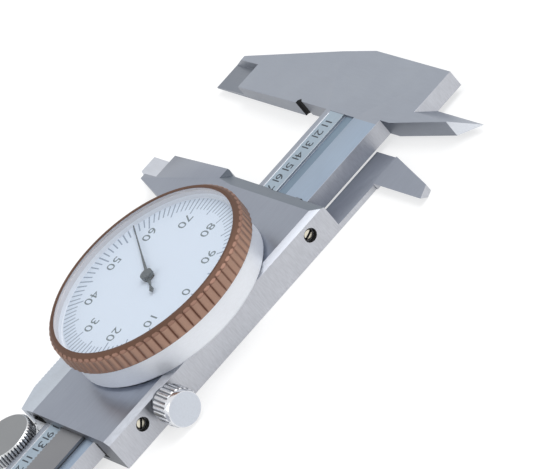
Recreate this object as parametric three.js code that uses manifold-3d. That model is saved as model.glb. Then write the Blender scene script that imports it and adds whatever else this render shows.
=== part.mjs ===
// A six inch dial caliper, lying on its back with the jaws open at 0.6575 inch.
// X runs along the beam from the fixed jaw to the tail, Y towards the inside jaws, Z out of the dial.
// Everything is drawn from the fixed jaw's measuring face (X), the beam's middle line (Y) and the
// surface that the slider lies on (Z). The last lines move the origin to the bottom centre of the box.
// Sizes are in millimetres.

import * as THREE from 'three';
import { mergeVertices } from 'three/addons/utils/BufferGeometryUtils.js';
import Module from 'manifold-3d';

const wasm = await Module();
wasm.setup();

// Measuring range and reading
const inch = 25.4;
const readingShare = 0.6575;
const jawOpening = readingShare * inch;
const measuringRange = 6 * inch;

// Clearances
const slideClearance = 0.15;
const seatGap = 0.05;
const pivotClearance = 0.05;
const turnClearance = 0.15;
const overrun = 1;

// Beam
const beamWidth = 16;
const beamBack = 1.1;
const beamThickness = 3.3;
const beamFront = beamBack + beamThickness;
const tailRun = 9.6;
const railWidth = 1.25;
const stripDepth = 0.12;
const stripInnerY = -2.3;

// Jaws
const jawDepth = 39.6;
const headLength = 14;
const jawRelief = 0.5;
const reliefSlotWidth = 1.4;
const reliefStartDepth = 8.8;
const jawTipWidth = 6.2;
const jawShoulderWidth = 6.4;
const jawShoulderLength = 3.7;
const jawTaperDepth = 9;
const jawTipHeight = 3.4;
const tipPocketLength = 9.8;
const tipPocketWidth = 5.4;
const tipPocketFloor = 1.9;
const tipPocketEnd = 1.4;
const headTop = 14.8;

// Inside jaws, beside each other when the caliper is closed
const nibOffset = 8;
const fixedNibWidth = 6.6;
const fixedNibTipWidth = 3.4;
const fixedNibTop = 29;
const fixedNibShoulder = 11;
const fixedNibTaperEnd = 24.8;
const nibBevelWidth = 3.3;
const movingNibWidth = 6.15;
const movingNibTipWidth = 2.8;
const movingNibTop = 29.8;
const movingNibTaperEnd = 28.2;
const movingNibThickness = 1.4;

// Rack on the beam
const rackPitch = inch / 40;
const rackStart = 19;
const rackToothDepth = 0.36;
const rackEdgeY = 5.1;
const rackRise = 0.55;
const rackSeatDepth = 1;
const rackScrewInset = 2.2;
const rackEndGap = 4;
const grooveWidth = 3.2;
const grooveDepth = 0.5;

// Slider
const sliderLength = 54.4;
const sliderTopThickness = 1.1;
const sliderRelief = 0.6;
const sliderSideY = 14.8;
const sliderThumbY = -10.7;
const backPlate = beamBack - slideClearance;
const sideChamferWidth = 1.2;
const sideChamferDrop = 0.7;
const jawChamferWidth = 2.9;
const jawChamferDrop = 1.5;
const jawChamferRunOut = 2.4;
const wallSetback = 0.9;
const movingRootWidth = 13.6;
const movingTipWidth = 3.4;
const movingShoulderWidth = 6.05;
const movingShoulderLength = 6.2;
const movingTaperDepth = 1.3;
const movingTipHeight = 3.5;
const movingPocketLength = 10.6;
const movingPocketWidth = 4.95;
const movingPocketFloor = 1.42;

// Thumb rest on the slider's tail end
const thumbRestLength = 21.4;
const thumbRestReach = 6.6;
const thumbRestDrop = 0.8;
const thumbRestBottom = 2.2;
const thumbRestCornerReach = 4.4;

// Gib between the beam and the slider's side wall, and its screws
const gibThickness = 1.4;
const gibInset = 1.5;
const gibScrewRadius = 1.05;
const gibBoreRadius = 1.25;
const gibBoreDepth = 1.1;
const gibScrewHeight = 3.6;
const gibScrewStartInset = 5.75;
const gibScrewEndInset = 6.6;
const slotWidth = 0.35;
const slotDepth = 0.45;
const gibScrewTurn = 0.5;

// Lock screw
const lockEndInset = 11.9;
const lockHeadRadius = 3.35;
const lockHeadLength = 4.9;
const lockFaceRadius = 2.85;
const lockNeckRadius = 2.6;
const lockNeckLength = 1.6;
const lockShankRadius = 1;
const lockChamfer = 0.5;

// Depth rod in the back of the beam
const depthRodWidth = 3;
const depthRodThickness = 1.3;
const depthRodStart = 3;
const depthRodScrewInset = 3;
const smallScrewRadius = 0.7;
const smallHeadRadius = 1.3;
const smallHeadHeight = 0.5;

// Thumb roller and its bracket
const rollerRadius = 5.3;
const rollerHeight = 2.5;
const rollerHubRadius = 2.4;
const rollerHubHeight = 1.1;
const rollerCap = 0.6;
const rollerEndGap = 0.55;
const rollerSeatGap = 0.4;
const rollerPinRadius = 1;
const rollerChamfer = 0.35;
const bracketBottom = 0.2;
const bracketArmThickness = 1.5;
const bracketBlockTop = 3.8;
const bracketBlockLength = 4;
const bracketBlockWidth = 4.6;
const bracketTongueLength = 9.5;
const bracketRecessRoof = 0.6;

// End stop at the beam's tail
const stopLength = 7.2;
const stopHeight = 1.2;
const stopHalfWidth = 6;
const stopScrewSpacing = 6.4;
const stopInset = 0.8;

// Dial case
const dialPlace = 27.15;
const dialY = 0.4;
const caseRadius = 18.6;
const caseWall = 1.7;
const caseFloor = 0.8;
const caseHeight = 4.6;
const caseSpigotHeight = 1.1;
const caseSpigotStep = 1.15;
const caseChamfer = 0.5;
const caseScrewInset = 0.15;
const caseScrewTurn = Math.PI / 6;
const ringGrooveDepth = 0.35;
const ringGrooveHeight = 0.5;

// Bezel, crystal and dial face
const bezelOverhang = 0.9;
const bezelGap = 0.15;
const bezelTopSetback = 0.85;
const bezelTopBevel = 0.8;
const bezelFootBevel = 0.2;
const bezelLip = 0.12;
const crystalSetback = 0.35;
const crystalThickness = 0.65;
const crystalLedge = 0.55;
const crystalSeat = 0.25;
const crystalGap = 0.18;
const dialThickness = 0.4;
const dialLedge = 0.3;
const dialLedgeWidth = 0.8;
const dialHoleRadius = 1;
const dialLedgeGap = 0.1;

// Gear train: rack pinion and drive gear, centre pinion, take-up gear
const rackPinionTeeth = 16;
const driveGearTeeth = 80;
const centrePinionTeeth = 20;
const gearModule = 0.125;
const gearThickness = 0.4;
const addendumShare = 0.9;
const dedendumShare = 1.25;
const rackPinionHeight = 0.75;
const arborRadius = 0.5;
const gearGap = 0.3;
const hubRadius = 1.3;
const hubHeight = 0.35;

// Movement plates, pillars and springs
const movementRim = 4.25;
const movementLedge = 0.9;
const plateThickness = 0.8;
const bridgeThickness = 0.7;
const pillarRadius = 1.1;
const pillarInset = 1.6;
const pillarTurn = 1.19;
const baseScrewTurn = 0.88;
const springTurns = 4;
const springPitch = 0.42;
const springStrip = 0.1;
const springHeight = 0.3;
const springStudRadius = 0.3;
const springSteps = 18;

// Pointer
const pointerTipInset = 1.2;
const pointerTailReach = 5.5;
const pointerHalfWidth = 0.42;
const pointerNeedleHalfWidth = 0.31;
const pointerSlimHalfWidth = 0.12;
const pointerSlimStart = 7;
const pointerTailRootHalfWidth = 0.4;
const pointerTipHalfWidth = 0.07;
const pointerNeckHalfWidth = 0.13;
const pointerThickness = 0.18;
const pointerGap = 0.45;
const pointerHubRadius = 1.15;
const pointerHubHeight = 0.65;
const pointerShare = (readingShare * 10) % 1;
const pointerAngle = -2 * Math.PI * pointerShare;

// Facets of round pieces
const largeSides = 60;
const mediumSides = 32;
const smallSides = 16;

// Materials
const steel = new THREE.MeshStandardMaterial({ color: 0xa4a8ac, roughness: 0.34, metalness: 0.9 });
const satinSteel = new THREE.MeshStandardMaterial({ color: 0xb9bcbf, roughness: 0.4, metalness: 0.85 });
const paleSteel = new THREE.MeshStandardMaterial({ color: 0xc8c9c6, roughness: 0.3, metalness: 0.9 });
const satinCase = new THREE.MeshStandardMaterial({ color: 0xd3d4d2, roughness: 0.35, metalness: 0.85 });
const copper = new THREE.MeshStandardMaterial({ color: 0x9a6a52, roughness: 0.4, metalness: 0.8 });
const brass = new THREE.MeshStandardMaterial({ color: 0xc9a24e, roughness: 0.35, metalness: 0.9 });
const springSteel = new THREE.MeshStandardMaterial({ color: 0x4b5568, roughness: 0.3, metalness: 0.9 });
const dialPaint = new THREE.MeshStandardMaterial({ color: 0xe6eef6, roughness: 0.5, metalness: 0 });
const clear = new THREE.MeshStandardMaterial({
  color: 0xf4f8fb, roughness: 0.05, metalness: 0, transparent: true, opacity: 0.15,
});
const darkMetal = new THREE.MeshStandardMaterial({ color: 0x33383d, roughness: 0.4, metalness: 0.7 });

// Closed solids, from points to a mesh

function toSolid(geometry) {
  geometry.deleteAttribute('normal');
  geometry.deleteAttribute('uv');
  const merged = mergeVertices(geometry);
  const vertProperties = new Float32Array(merged.attributes.position.array);
  const triVerts = new Uint32Array(merged.index.array);
  if (signedVolume(vertProperties, triVerts) < 0) {
    triVerts.reverse();
  }
  return new wasm.Manifold(new wasm.Mesh({ numProp: 3, vertProperties, triVerts }));
}

function signedVolume(positions, triangles) {
  const corner = [new THREE.Vector3(), new THREE.Vector3(), new THREE.Vector3()];
  let sum = 0;
  for (let i = 0; i < triangles.length; i += 3) {
    corner.forEach((point, k) => point.fromArray(positions, 3 * triangles[i + k]));
    sum += corner[0].dot(corner[1].clone().cross(corner[2]));
  }
  return sum;
}

function toGeometry(solid) {
  const mesh = solid.getMesh();
  const geometry = new THREE.BufferGeometry();
  geometry.setAttribute('position', new THREE.BufferAttribute(mesh.vertProperties, mesh.numProp));
  geometry.setIndex(new THREE.BufferAttribute(mesh.triVerts, 1));
  geometry.computeVertexNormals();
  return geometry;
}

function outline(points) {
  return new THREE.Shape(points.map(([x, y]) => new THREE.Vector2(x, y)));
}

function extruded(points, length) {
  return new THREE.ExtrudeGeometry(outline(points), { depth: length, bevelEnabled: false });
}

// Points are (x, y); the prism stands from z = low to z = high.
function prismUp(points, low, high) {
  return toSolid(extruded(points, high - low).translate(0, 0, low));
}

// Points are (y, z); the prism runs from x = low to x = high.
function prismAlong(points, low, high) {
  const turn = new THREE.Matrix4().makeBasis(
    new THREE.Vector3(0, 1, 0), new THREE.Vector3(0, 0, 1), new THREE.Vector3(1, 0, 0));
  return toSolid(extruded(points, high - low).applyMatrix4(turn).translate(low, 0, 0));
}

// Points are (x, z); the prism runs from y = low to y = high.
function prismAcross(points, low, high) {
  const turn = new THREE.Matrix4().makeBasis(
    new THREE.Vector3(1, 0, 0), new THREE.Vector3(0, 0, 1), new THREE.Vector3(0, -1, 0));
  return toSolid(extruded(points, high - low).applyMatrix4(turn).translate(0, high, 0));
}

function block(x0, x1, y0, y1, z0, z1) {
  const geometry = new THREE.BoxGeometry(x1 - x0, y1 - y0, z1 - z0);
  return toSolid(geometry.translate((x0 + x1) / 2, (y0 + y1) / 2, (z0 + z1) / 2));
}

// A turned piece about a vertical axis through (x, y), from a closed profile of (radius, height).
function turned(profile, sides, x = 0, y = 0) {
  const points = profile.map(([r, h]) => new THREE.Vector2(r, h));
  if (profile[0][0] > 0) {
    points.push(points[0].clone());
  }
  return toSolid(new THREE.LatheGeometry(points, sides).rotateX(Math.PI / 2).translate(x, y, 0));
}

function rod(x, y, z0, z1, radius, sides = smallSides) {
  return turned([[0, z0], [radius, z0], [radius, z1], [0, z1]], sides, x, y);
}

// A turned piece about an axis along Y through (x, z); heights are places along Y.
function turnedAcross(profile, sides, x, z) {
  const points = profile.map(([r, h]) => new THREE.Vector2(r, h));
  return toSolid(new THREE.LatheGeometry(points, sides).translate(x, 0, z));
}

function rodAcross(x, z, y0, y1, radius, sides = smallSides) {
  return turnedAcross([[0, y0], [radius, y0], [radius, y1], [0, y1]], sides, x, z);
}

function joined(first, ...others) {
  return others.reduce((sum, solid) => sum.add(solid), first);
}

function cut(first, ...others) {
  return others.reduce((rest, solid) => rest.subtract(solid), first);
}

// Points round a circle, for gears, pillars and screws.
function onCircle(radius, angle, x = 0, y = 0) {
  return [x + radius * Math.cos(angle), y + radius * Math.sin(angle)];
}

const beamBodies = new THREE.Group();
const sliderBodies = new THREE.Group();
sliderBodies.position.x = jawOpening;

function addPiece(group, name, solid, material) {
  const mesh = new THREE.Mesh(toGeometry(solid), material);
  mesh.name = name;
  group.add(mesh);
}

// Places that several pieces share

const halfBeam = beamWidth / 2;
const tipY = -(halfBeam + jawDepth);
const reliefY = -(halfBeam + reliefStartDepth);
const jawChamferEnd = reliefY + reliefSlotWidth;
const jawShoulderY = tipY + jawShoulderLength;
const movingShoulderY = tipY + movingShoulderLength;
const beamTail = sliderLength + measuringRange + tailRun;
const stopStart = beamTail - stopInset - stopLength;
const rackTop = beamFront + rackRise;
const sliderFront = rackTop + slideClearance + sliderTopThickness;
const gibOuterY = halfBeam + slideClearance + gibThickness + slideClearance;
const ceiling = beamFront + slideClearance;
const gearDistance = gearModule * (driveGearTeeth + centrePinionTeeth) / 2;
const rackPitchRadius = rackPinionTeeth * rackPitch / (2 * Math.PI);
const rackPitchY = stripInnerY + slideClearance + rackToothDepth / 2;
const rackPinionY = rackPitchY - rackPitchRadius - pivotClearance;
const rackPinionX = dialPlace - Math.sqrt(gearDistance ** 2 - (dialY - rackPinionY) ** 2);
const rackEnd = stopStart - rackEndGap;
const rackTeeth = Math.ceil((rackPinionX + measuringRange + rackPitchRadius - rackStart) / rackPitch) + 2;

// Heights of the dial and its movement

const caseBottom = sliderFront + seatGap;
const caseTop = caseBottom + caseHeight;
const caseSpigotRadius = caseRadius - caseSpigotStep;
const caseScrewCircle = caseRadius - caseWall - ringGrooveDepth - caseScrewInset - smallHeadRadius;
const spigotTop = caseTop + caseSpigotHeight;
const ringHeight = (caseTop + spigotTop) / 2;
const floorTop = caseBottom + caseFloor;
const bezelBottom = caseTop + bezelGap;
const bezelRadius = caseRadius + bezelOverhang;
const bezelTopRadius = bezelRadius - bezelTopSetback;
const crystalRadius = bezelTopRadius - crystalSetback;
const crystalSightRadius = crystalRadius - crystalSeat;
const dialBottom = spigotTop + dialLedgeGap + dialLedge;
const dialTop = dialBottom + dialThickness;
const pointerBottom = dialTop + pointerGap;
const pointerTop = pointerBottom + pointerHubHeight;
const crystalBottom = pointerTop + crystalGap;
const bezelTop = crystalBottom + crystalThickness + bezelLip;
const bezelInner = caseSpigotRadius + turnClearance;
const baseBottom = floorTop + seatGap;
const baseTop = baseBottom + plateThickness;
const movementHeight = gearGap * 4 + gearThickness * 2 + springHeight;
const bridgeBottom = baseTop + movementHeight;
const bridgeTop = bridgeBottom + bridgeThickness;
const driveGearBottom = baseTop + gearGap;
const takeupGearBottom = driveGearBottom + gearThickness + gearGap;
const movementRadius = gearDistance + movementRim;
const baseScrewCircle = movementRadius - smallHeadRadius;
const movementHoleRadius = baseScrewCircle - movementLedge;
const rackPinionPlace = [rackPinionX, rackPinionY];
const driveAngle = Math.atan2(rackPinionY - dialY, rackPinionX - dialPlace);
const takeupAngle = driveAngle - 2 * Math.PI / 3;
const takeupPlace = onCircle(gearDistance, takeupAngle, dialPlace, dialY);
const centreArborTop = pointerBottom + pointerHubHeight / 2;
const springInner = arborRadius + springStrip / 2 + seatGap;
const springBottom = takeupGearBottom + gearThickness + gearGap;
const caseScrewEnd = rackTop + slideClearance * 2;
const rollerY = -halfBeam - rollerRadius - slideClearance;
const rollerPlace = sliderLength + rollerRadius + rollerEndGap;
const rollerBottom = bracketBottom + bracketArmThickness + rollerSeatGap;
const rollerRimBottom = rollerBottom + rollerHubHeight;
const rollerTop = rollerRimBottom + rollerHeight;
const lockPlace = sliderLength - lockEndInset;
const lockHeight = lockHeadRadius + seatGap;

// Beam, with the fixed outside jaw and the fixed inside jaw

function fixedJawOutline() {
  return [
    [-jawRelief, -halfBeam + overrun],
    [-jawRelief, reliefY + reliefSlotWidth / 2],
    [-jawRelief * 2, reliefY],
    [-jawRelief, reliefY - reliefSlotWidth / 2],
    [0, reliefY - reliefSlotWidth / 2],
    [0, tipY],
    [-jawTipWidth, tipY],
    [-jawShoulderWidth, jawShoulderY],
    [-headLength, -halfBeam - jawRelief],
    [-headLength, -halfBeam + overrun],
  ];
}

function fixedNibOutline() {
  return [
    [-nibOffset + fixedNibWidth, halfBeam - overrun],
    [-nibOffset + fixedNibWidth, fixedNibShoulder],
    [-nibOffset + fixedNibTipWidth, fixedNibTaperEnd],
    [-nibOffset, fixedNibTop],
    [-nibOffset, halfBeam - overrun],
  ];
}

// The front of a jaw slopes gently down from its full height towards the tip.
function jawTaperCut(full, taperStart, tipHeight, x0, x1) {
  const slope = (full - tipHeight) / (taperStart - tipY);
  return prismAlong([
    [taperStart, full],
    [taperStart, full + overrun],
    [tipY - overrun, full + overrun],
    [tipY - overrun, tipHeight - slope * overrun],
  ], x0, x1);
}

// The height of a sloping jaw's front at y.
function jawTopAt(y, full, taperStart, tipHeight) {
  return tipHeight + (full - tipHeight) * (y - tipY) / (taperStart - tipY);
}

// Behind the pocket the jaw's back edge falls away to the thin tip.
function tipCornerCut(start, heightAtStart, x0, x1) {
  return prismAlong([
    [start, heightAtStart],
    [start, beamFront + overrun],
    [tipY - overrun, beamFront + overrun],
    [tipY - overrun, tipPocketEnd],
    [tipY, tipPocketEnd],
  ], x0, x1);
}

// A pocket in the front leaves a thin tip beside the measuring face.
function tipPocketCut(start, floorAtStart, floorAtTip, x0, x1) {
  return prismAlong([
    [start, floorAtStart],
    [start, sliderFront + overrun],
    [tipY - overrun, sliderFront + overrun],
    [tipY - overrun, floorAtTip],
    [tipY, floorAtTip],
  ], x0, x1);
}

function makeBeam() {
  const bar = block(-headLength, beamTail, -halfBeam, halfBeam, beamBack, beamFront);
  const head = block(-headLength, -nibOffset, halfBeam - overrun, headTop, beamBack, beamFront);
  const jaw = prismUp(fixedJawOutline(), beamBack, beamFront);
  const taperStart = -(halfBeam + jawTaperDepth);
  const shoulderHeight = jawTopAt(jawShoulderY, beamFront, taperStart, jawTipHeight);
  const jawCuts = [
    jawTaperCut(beamFront, taperStart, jawTipHeight, -headLength - overrun, overrun),
    tipPocketCut(tipY + tipPocketLength, tipPocketFloor, tipPocketEnd, -tipPocketWidth, overrun),
    tipCornerCut(jawShoulderY, shoulderHeight, -headLength, overrun),
  ];
  const nib = prismUp(fixedNibOutline(), beamBack, beamFront);
  const nibBevel = prismAcross([
    [-nibOffset - overrun, beamBack],
    [-nibOffset, beamBack],
    [-nibOffset + nibBevelWidth, beamFront],
    [-nibOffset + nibBevelWidth, beamFront + overrun],
    [-nibOffset - overrun, beamFront + overrun],
  ], headTop, fixedNibTop + overrun);
  const strip = block(-jawRelief, beamTail + overrun, -halfBeam + railWidth, stripInnerY,
    beamFront - stripDepth, beamFront + overrun);
  const groove = block(-jawRelief, rackStart, stripInnerY, stripInnerY + grooveWidth,
    beamFront - grooveDepth, beamFront + overrun);
  const rackSeat = block(rackStart - slideClearance, rackEnd + slideClearance, stripInnerY,
    rackEdgeY + slideClearance, beamFront - rackSeatDepth, beamFront + overrun);
  const rodGroove = block(depthRodStart - turnClearance, beamTail + overrun,
    -depthRodWidth / 2 - slideClearance, depthRodWidth / 2 + slideClearance,
    -overrun, beamBack + slideClearance + depthRodThickness + slideClearance);
  const solid = joined(bar, head, cut(jaw, ...jawCuts), nib.subtract(nibBevel));
  return cut(solid, strip, groove, rackSeat, rodGroove, ...rackScrewHoles(), ...stopScrewHoles());
}

function rackScrewPlaces() {
  return [rackStart + rackScrewInset, rackEnd - rackScrewInset];
}

function rackScrewY() {
  return rackEdgeY - rackScrewInset;
}

function rackScrewHoles() {
  return rackScrewPlaces().map((x) => rod(x, rackScrewY(), beamBack - overrun, rackTop + overrun,
    smallScrewRadius + seatGap));
}

function stopScrewPlaces() {
  return [-stopScrewSpacing / 2, stopScrewSpacing / 2];
}

function stopScrewHoles() {
  return stopScrewPlaces().map((y) => rod(stopStart + stopLength / 2, y, beamBack - overrun,
    beamFront + stopHeight + overrun, smallScrewRadius + seatGap));
}

// A flat screw: a thin head over a shank, with a slot across the head.
function flatScrew(x, y, top, bottom, headRadius = smallHeadRadius, turn = 0) {
  const body = turned([
    [0, bottom],
    [smallScrewRadius, bottom],
    [smallScrewRadius, top - smallHeadHeight],
    [headRadius, top - smallHeadHeight],
    [headRadius, top],
    [0, top],
  ], smallSides, x, y);
  const slot = new THREE.BoxGeometry(4 * headRadius, slotWidth, slotDepth);
  slot.rotateZ(turn).translate(x, y, top);
  return body.subtract(toSolid(slot));
}

function headSeat(x, y, top) {
  return rod(x, y, top - smallHeadHeight - seatGap, top + overrun, smallHeadRadius + seatGap);
}

function makeRack() {
  const bottomY = stripInnerY + slideClearance;
  const points = [];
  for (let i = 0; i < rackTeeth; i += 1) {
    const x = rackStart + i * rackPitch;
    points.push([x, bottomY + rackToothDepth]);
    points.push([x + rackPitch / 2, bottomY]);
  }
  const lastX = rackStart + rackTeeth * rackPitch;
  points.push([lastX, bottomY + rackToothDepth]);
  points.push([rackEnd, bottomY + rackToothDepth]);
  points.push([rackEnd, rackEdgeY]);
  points.push([rackStart, rackEdgeY]);
  const bar = prismUp(points, beamFront - rackSeatDepth + seatGap, rackTop);
  const seats = rackScrewPlaces().map((x) => headSeat(x, rackScrewY(), rackTop));
  return cut(bar, ...rackScrewHoles(), ...seats);
}

function makeEndStop() {
  const plate = block(stopStart, stopStart + stopLength, -stopHalfWidth, stopHalfWidth,
    beamFront + seatGap, beamFront + stopHeight);
  return cut(plate, ...stopScrewHoles());
}

addPiece(beamBodies, 'beam', makeBeam(), steel);
addPiece(beamBodies, 'rack', makeRack(), satinSteel);
rackScrewPlaces().forEach((x, i) => {
  const screw = flatScrew(x, rackScrewY(), rackTop, beamBack + seatGap);
  addPiece(beamBodies, `rack_screw_${i + 1}`, screw, paleSteel);
});
addPiece(beamBodies, 'end_stop', makeEndStop(), steel);
stopScrewPlaces().forEach((y, i) => {
  const top = beamFront + stopHeight + smallHeadHeight + seatGap;
  const screw = flatScrew(stopStart + stopLength / 2, y, top, beamBack + seatGap);
  addPiece(beamBodies, `end_stop_screw_${i + 1}`, screw, paleSteel);
});

// Slider, with the moving outside jaw and the moving inside jaw

function movingJawOutline() {
  return [
    [sliderRelief, sliderThumbY + overrun],
    [sliderRelief, reliefY + reliefSlotWidth],
    [0, reliefY],
    [0, tipY],
    [movingTipWidth, tipY],
    [movingShoulderWidth, movingShoulderY],
    [movingRootWidth, sliderThumbY],
    [movingRootWidth, sliderThumbY + overrun],
  ];
}

function movingNibOutline() {
  return [
    [-nibOffset - movingNibWidth, headTop + slideClearance],
    [-nibOffset - movingNibTipWidth, movingNibTaperEnd],
    [-nibOffset, movingNibTop],
    [-nibOffset, headTop + slideClearance],
  ];
}

function movingNibPlate() {
  return [
    [-nibOffset - movingNibWidth, halfBeam + slideClearance * 2],
    [-nibOffset - movingNibWidth, headTop + turnClearance + slideClearance],
    [-nibOffset, headTop + turnClearance + slideClearance],
    [-nibOffset, sliderSideY],
    [sliderRelief + overrun, sliderSideY],
    [sliderRelief + overrun, halfBeam + slideClearance * 2],
  ];
}

function thumbRestOutline() {
  const reach = sliderThumbY - thumbRestReach;
  const thumbRestStart = sliderLength - thumbRestLength;
  const points = [[thumbRestStart, sliderThumbY + overrun], [thumbRestStart, sliderThumbY]];
  const flatStartShare = 0.3;
  const flatEndShare = 0.78;
  points.push([thumbRestStart + flatStartShare * thumbRestLength, reach]);
  points.push([thumbRestStart + flatEndShare * thumbRestLength, reach]);
  points.push([sliderLength, sliderThumbY - thumbRestCornerReach]);
  points.push([sliderLength, sliderThumbY + overrun]);
  return points;
}

function makeSliderFrame() {
  const body = block(sliderRelief, sliderLength, sliderThumbY, sliderSideY, 0, sliderFront);
  const jaw = prismUp(movingJawOutline(), 0, sliderFront);
  const jawCuts = [
    jawTaperCut(sliderFront, sliderThumbY - movingTaperDepth, movingTipHeight,
      -overrun, movingRootWidth + overrun),
    tipPocketCut(tipY + movingPocketLength, movingPocketFloor, movingPocketFloor,
      -overrun, movingPocketWidth),
    tipPocketCut(movingShoulderY, movingPocketFloor, movingPocketFloor, -overrun, movingRootWidth),
  ];
  const nibPlate = prismUp(movingNibPlate(), 0, backPlate);
  const nib = prismUp(movingNibOutline(), 0, movingNibThickness);
  const nibBevel = prismAcross([
    [-nibOffset - movingNibThickness, -overrun],
    [-nibOffset - movingNibThickness, 0],
    [-nibOffset, movingNibThickness],
    [-nibOffset + overrun, movingNibThickness],
    [-nibOffset + overrun, -overrun],
  ], headTop + turnClearance + slideClearance, movingNibTop + overrun);
  const thumbRest = prismUp(thumbRestOutline(), thumbRestBottom, sliderFront);
  const restSlope = prismAlong([
    [sliderThumbY, sliderFront],
    [sliderThumbY - thumbRestReach - overrun, sliderFront - thumbRestDrop],
    [sliderThumbY - thumbRestReach - overrun, sliderFront + overrun],
    [sliderThumbY, sliderFront + overrun],
  ], movingRootWidth, sliderLength + overrun);
  const solid = joined(body, cut(jaw, ...jawCuts), nibPlate, nib.subtract(nibBevel),
    thumbRest.subtract(restSlope));
  return cut(solid, ...channelCuts(), ...edgeCuts(), ...screwCuts());
}

function channelCuts() {
  const x0 = -overrun;
  const x1 = sliderLength + overrun;
  const channel = block(x0, x1, -halfBeam - slideClearance, gibOuterY, backPlate, ceiling);
  const wallFace = block(x0, wallSetback, halfBeam - overrun, sliderSideY + overrun,
    backPlate, ceiling + overrun);
  const rackRoom = block(x0, x1, stripInnerY - slideClearance, rackEdgeY + slideClearance * 2,
    ceiling - seatGap, rackTop + slideClearance);
  const movementHole = rod(dialPlace, dialY, ceiling - seatGap, sliderFront + overrun,
    movementHoleRadius, mediumSides);
  const recess = block(sliderLength - bracketBlockLength, x1,
    -halfBeam - bracketBlockWidth - turnClearance * 2, -halfBeam, -overrun, sliderFront - bracketRecessRoof);
  return [channel, wallFace, rackRoom, movementHole, recess];
}

function edgeCuts() {
  const sideChamfer = prismAlong([
    [sliderSideY - sideChamferWidth, sliderFront],
    [sliderSideY, sliderFront - sideChamferDrop],
    [sliderSideY + overrun, sliderFront - sideChamferDrop],
    [sliderSideY + overrun, sliderFront + overrun],
    [sliderSideY - sideChamferWidth, sliderFront + overrun],
  ], -overrun, sliderLength + overrun);
  const jawChamfer = prismAcross([
    [0, sliderFront - jawChamferDrop],
    [jawChamferWidth, sliderFront],
    [jawChamferWidth, sliderFront + overrun],
    [-overrun, sliderFront + overrun],
    [-overrun, sliderFront - jawChamferDrop],
  ], jawChamferEnd - jawChamferRunOut, sliderSideY + overrun);
  const runOut = prismAlong([
    [jawChamferEnd, sliderFront - jawChamferDrop],
    [jawChamferEnd - jawChamferRunOut, sliderFront],
    [jawChamferEnd - jawChamferRunOut - overrun, sliderFront],
    [jawChamferEnd - jawChamferRunOut - overrun, sliderFront - jawChamferDrop - overrun],
    [jawChamferEnd, sliderFront - jawChamferDrop - overrun],
  ], -overrun * 2, jawChamferWidth + overrun);
  return [sideChamfer, jawChamfer.subtract(runOut)];
}

// Holes for the gib screws, lock screw, case screws, movement screws and depth rod screw.
function screwCuts() {
  const gibHoles = gibScrewPlaces().flatMap((x) => [
    rodAcross(x, gibScrewHeight, gibOuterY - overrun, sliderSideY + overrun, gibScrewRadius + seatGap),
    rodAcross(x, gibScrewHeight, sliderSideY - gibBoreDepth, sliderSideY + overrun, gibBoreRadius),
  ]);
  const lockHole = rodAcross(lockPlace, lockHeight, gibOuterY - overrun, sliderSideY + overrun,
    lockShankRadius + turnClearance);
  const caseHoles = caseScrewPlaces().map(([x, y]) => rod(x, y, caseScrewEnd - seatGap,
    sliderFront + overrun, smallScrewRadius + seatGap));
  const rodHole = rod(depthRodStart + depthRodScrewInset, 0, -overrun, ceiling / 2,
    smallScrewRadius + seatGap);
  const rodSeat = rod(depthRodStart + depthRodScrewInset, 0, -overrun, smallHeadHeight + seatGap,
    smallHeadRadius + seatGap);
  const bracketHole = rod(bracketScrewX(), bracketScrewY(), bracketBottom, bracketScrewTop() + seatGap,
    smallScrewRadius + seatGap);
  return [...gibHoles, lockHole, ...caseHoles, rodHole, rodSeat, bracketHole];
}

function caseScrewPlaces() {
  const turns = [caseScrewTurn, Math.PI - caseScrewTurn, Math.PI + caseScrewTurn, -caseScrewTurn];
  return turns.map((turn) => onCircle(caseScrewCircle, turn, dialPlace, dialY));
}

function bracketScrewX() {
  return sliderLength - bracketTongueLength + smallHeadRadius * 2;
}

function bracketScrewY() {
  return sliderThumbY - thumbRestReach / 2;
}

function bracketScrewTop() {
  return (thumbRestBottom + sliderFront) / 2;
}

// Gib, gib screws and depth rod

function gibScrewPlaces() {
  return [gibScrewStartInset, sliderLength - gibScrewEndInset];
}

function makeGib() {
  return block(gibInset, sliderLength - gibInset, halfBeam + slideClearance, gibOuterY - slideClearance,
    backPlate + slideClearance, ceiling - slideClearance);
}

function makeGibScrew(x) {
  const y0 = gibOuterY - slideClearance + seatGap;
  const y1 = sliderSideY - gibBoreDepth / 2;
  const slot = new THREE.BoxGeometry(slotWidth, slotDepth * 2, gibScrewRadius * 4);
  slot.rotateY(gibScrewTurn).translate(x, y1, gibScrewHeight);
  return rodAcross(x, gibScrewHeight, y0, y1, gibScrewRadius).subtract(toSolid(slot));
}

function makeDepthRod() {
  const z0 = beamBack + slideClearance;
  const end = beamTail;
  const bar = block(depthRodStart, end, -depthRodWidth / 2, depthRodWidth / 2, z0, z0 + depthRodThickness);
  const tipCut = block(end - depthRodThickness, end + overrun, 0, depthRodWidth,
    z0 - overrun, z0 + depthRodThickness + overrun);
  const hole = rod(depthRodStart + depthRodScrewInset, 0, z0 - overrun, z0 + depthRodThickness + overrun,
    smallScrewRadius + seatGap);
  return cut(bar, tipCut, hole);
}

// The screw comes in from the back of the slider, so its head points down.
function makeBackScrew(x, y, head, end) {
  const body = turned([
    [0, head],
    [smallHeadRadius, head],
    [smallHeadRadius, head + smallHeadHeight],
    [smallScrewRadius, head + smallHeadHeight],
    [smallScrewRadius, end],
    [0, end],
  ], smallSides, x, y);
  return cut(body, block(x - 2 * smallHeadRadius, x + 2 * smallHeadRadius, y - slotWidth / 2,
    y + slotWidth / 2, head - overrun, head + slotDepth / 2));
}

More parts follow.
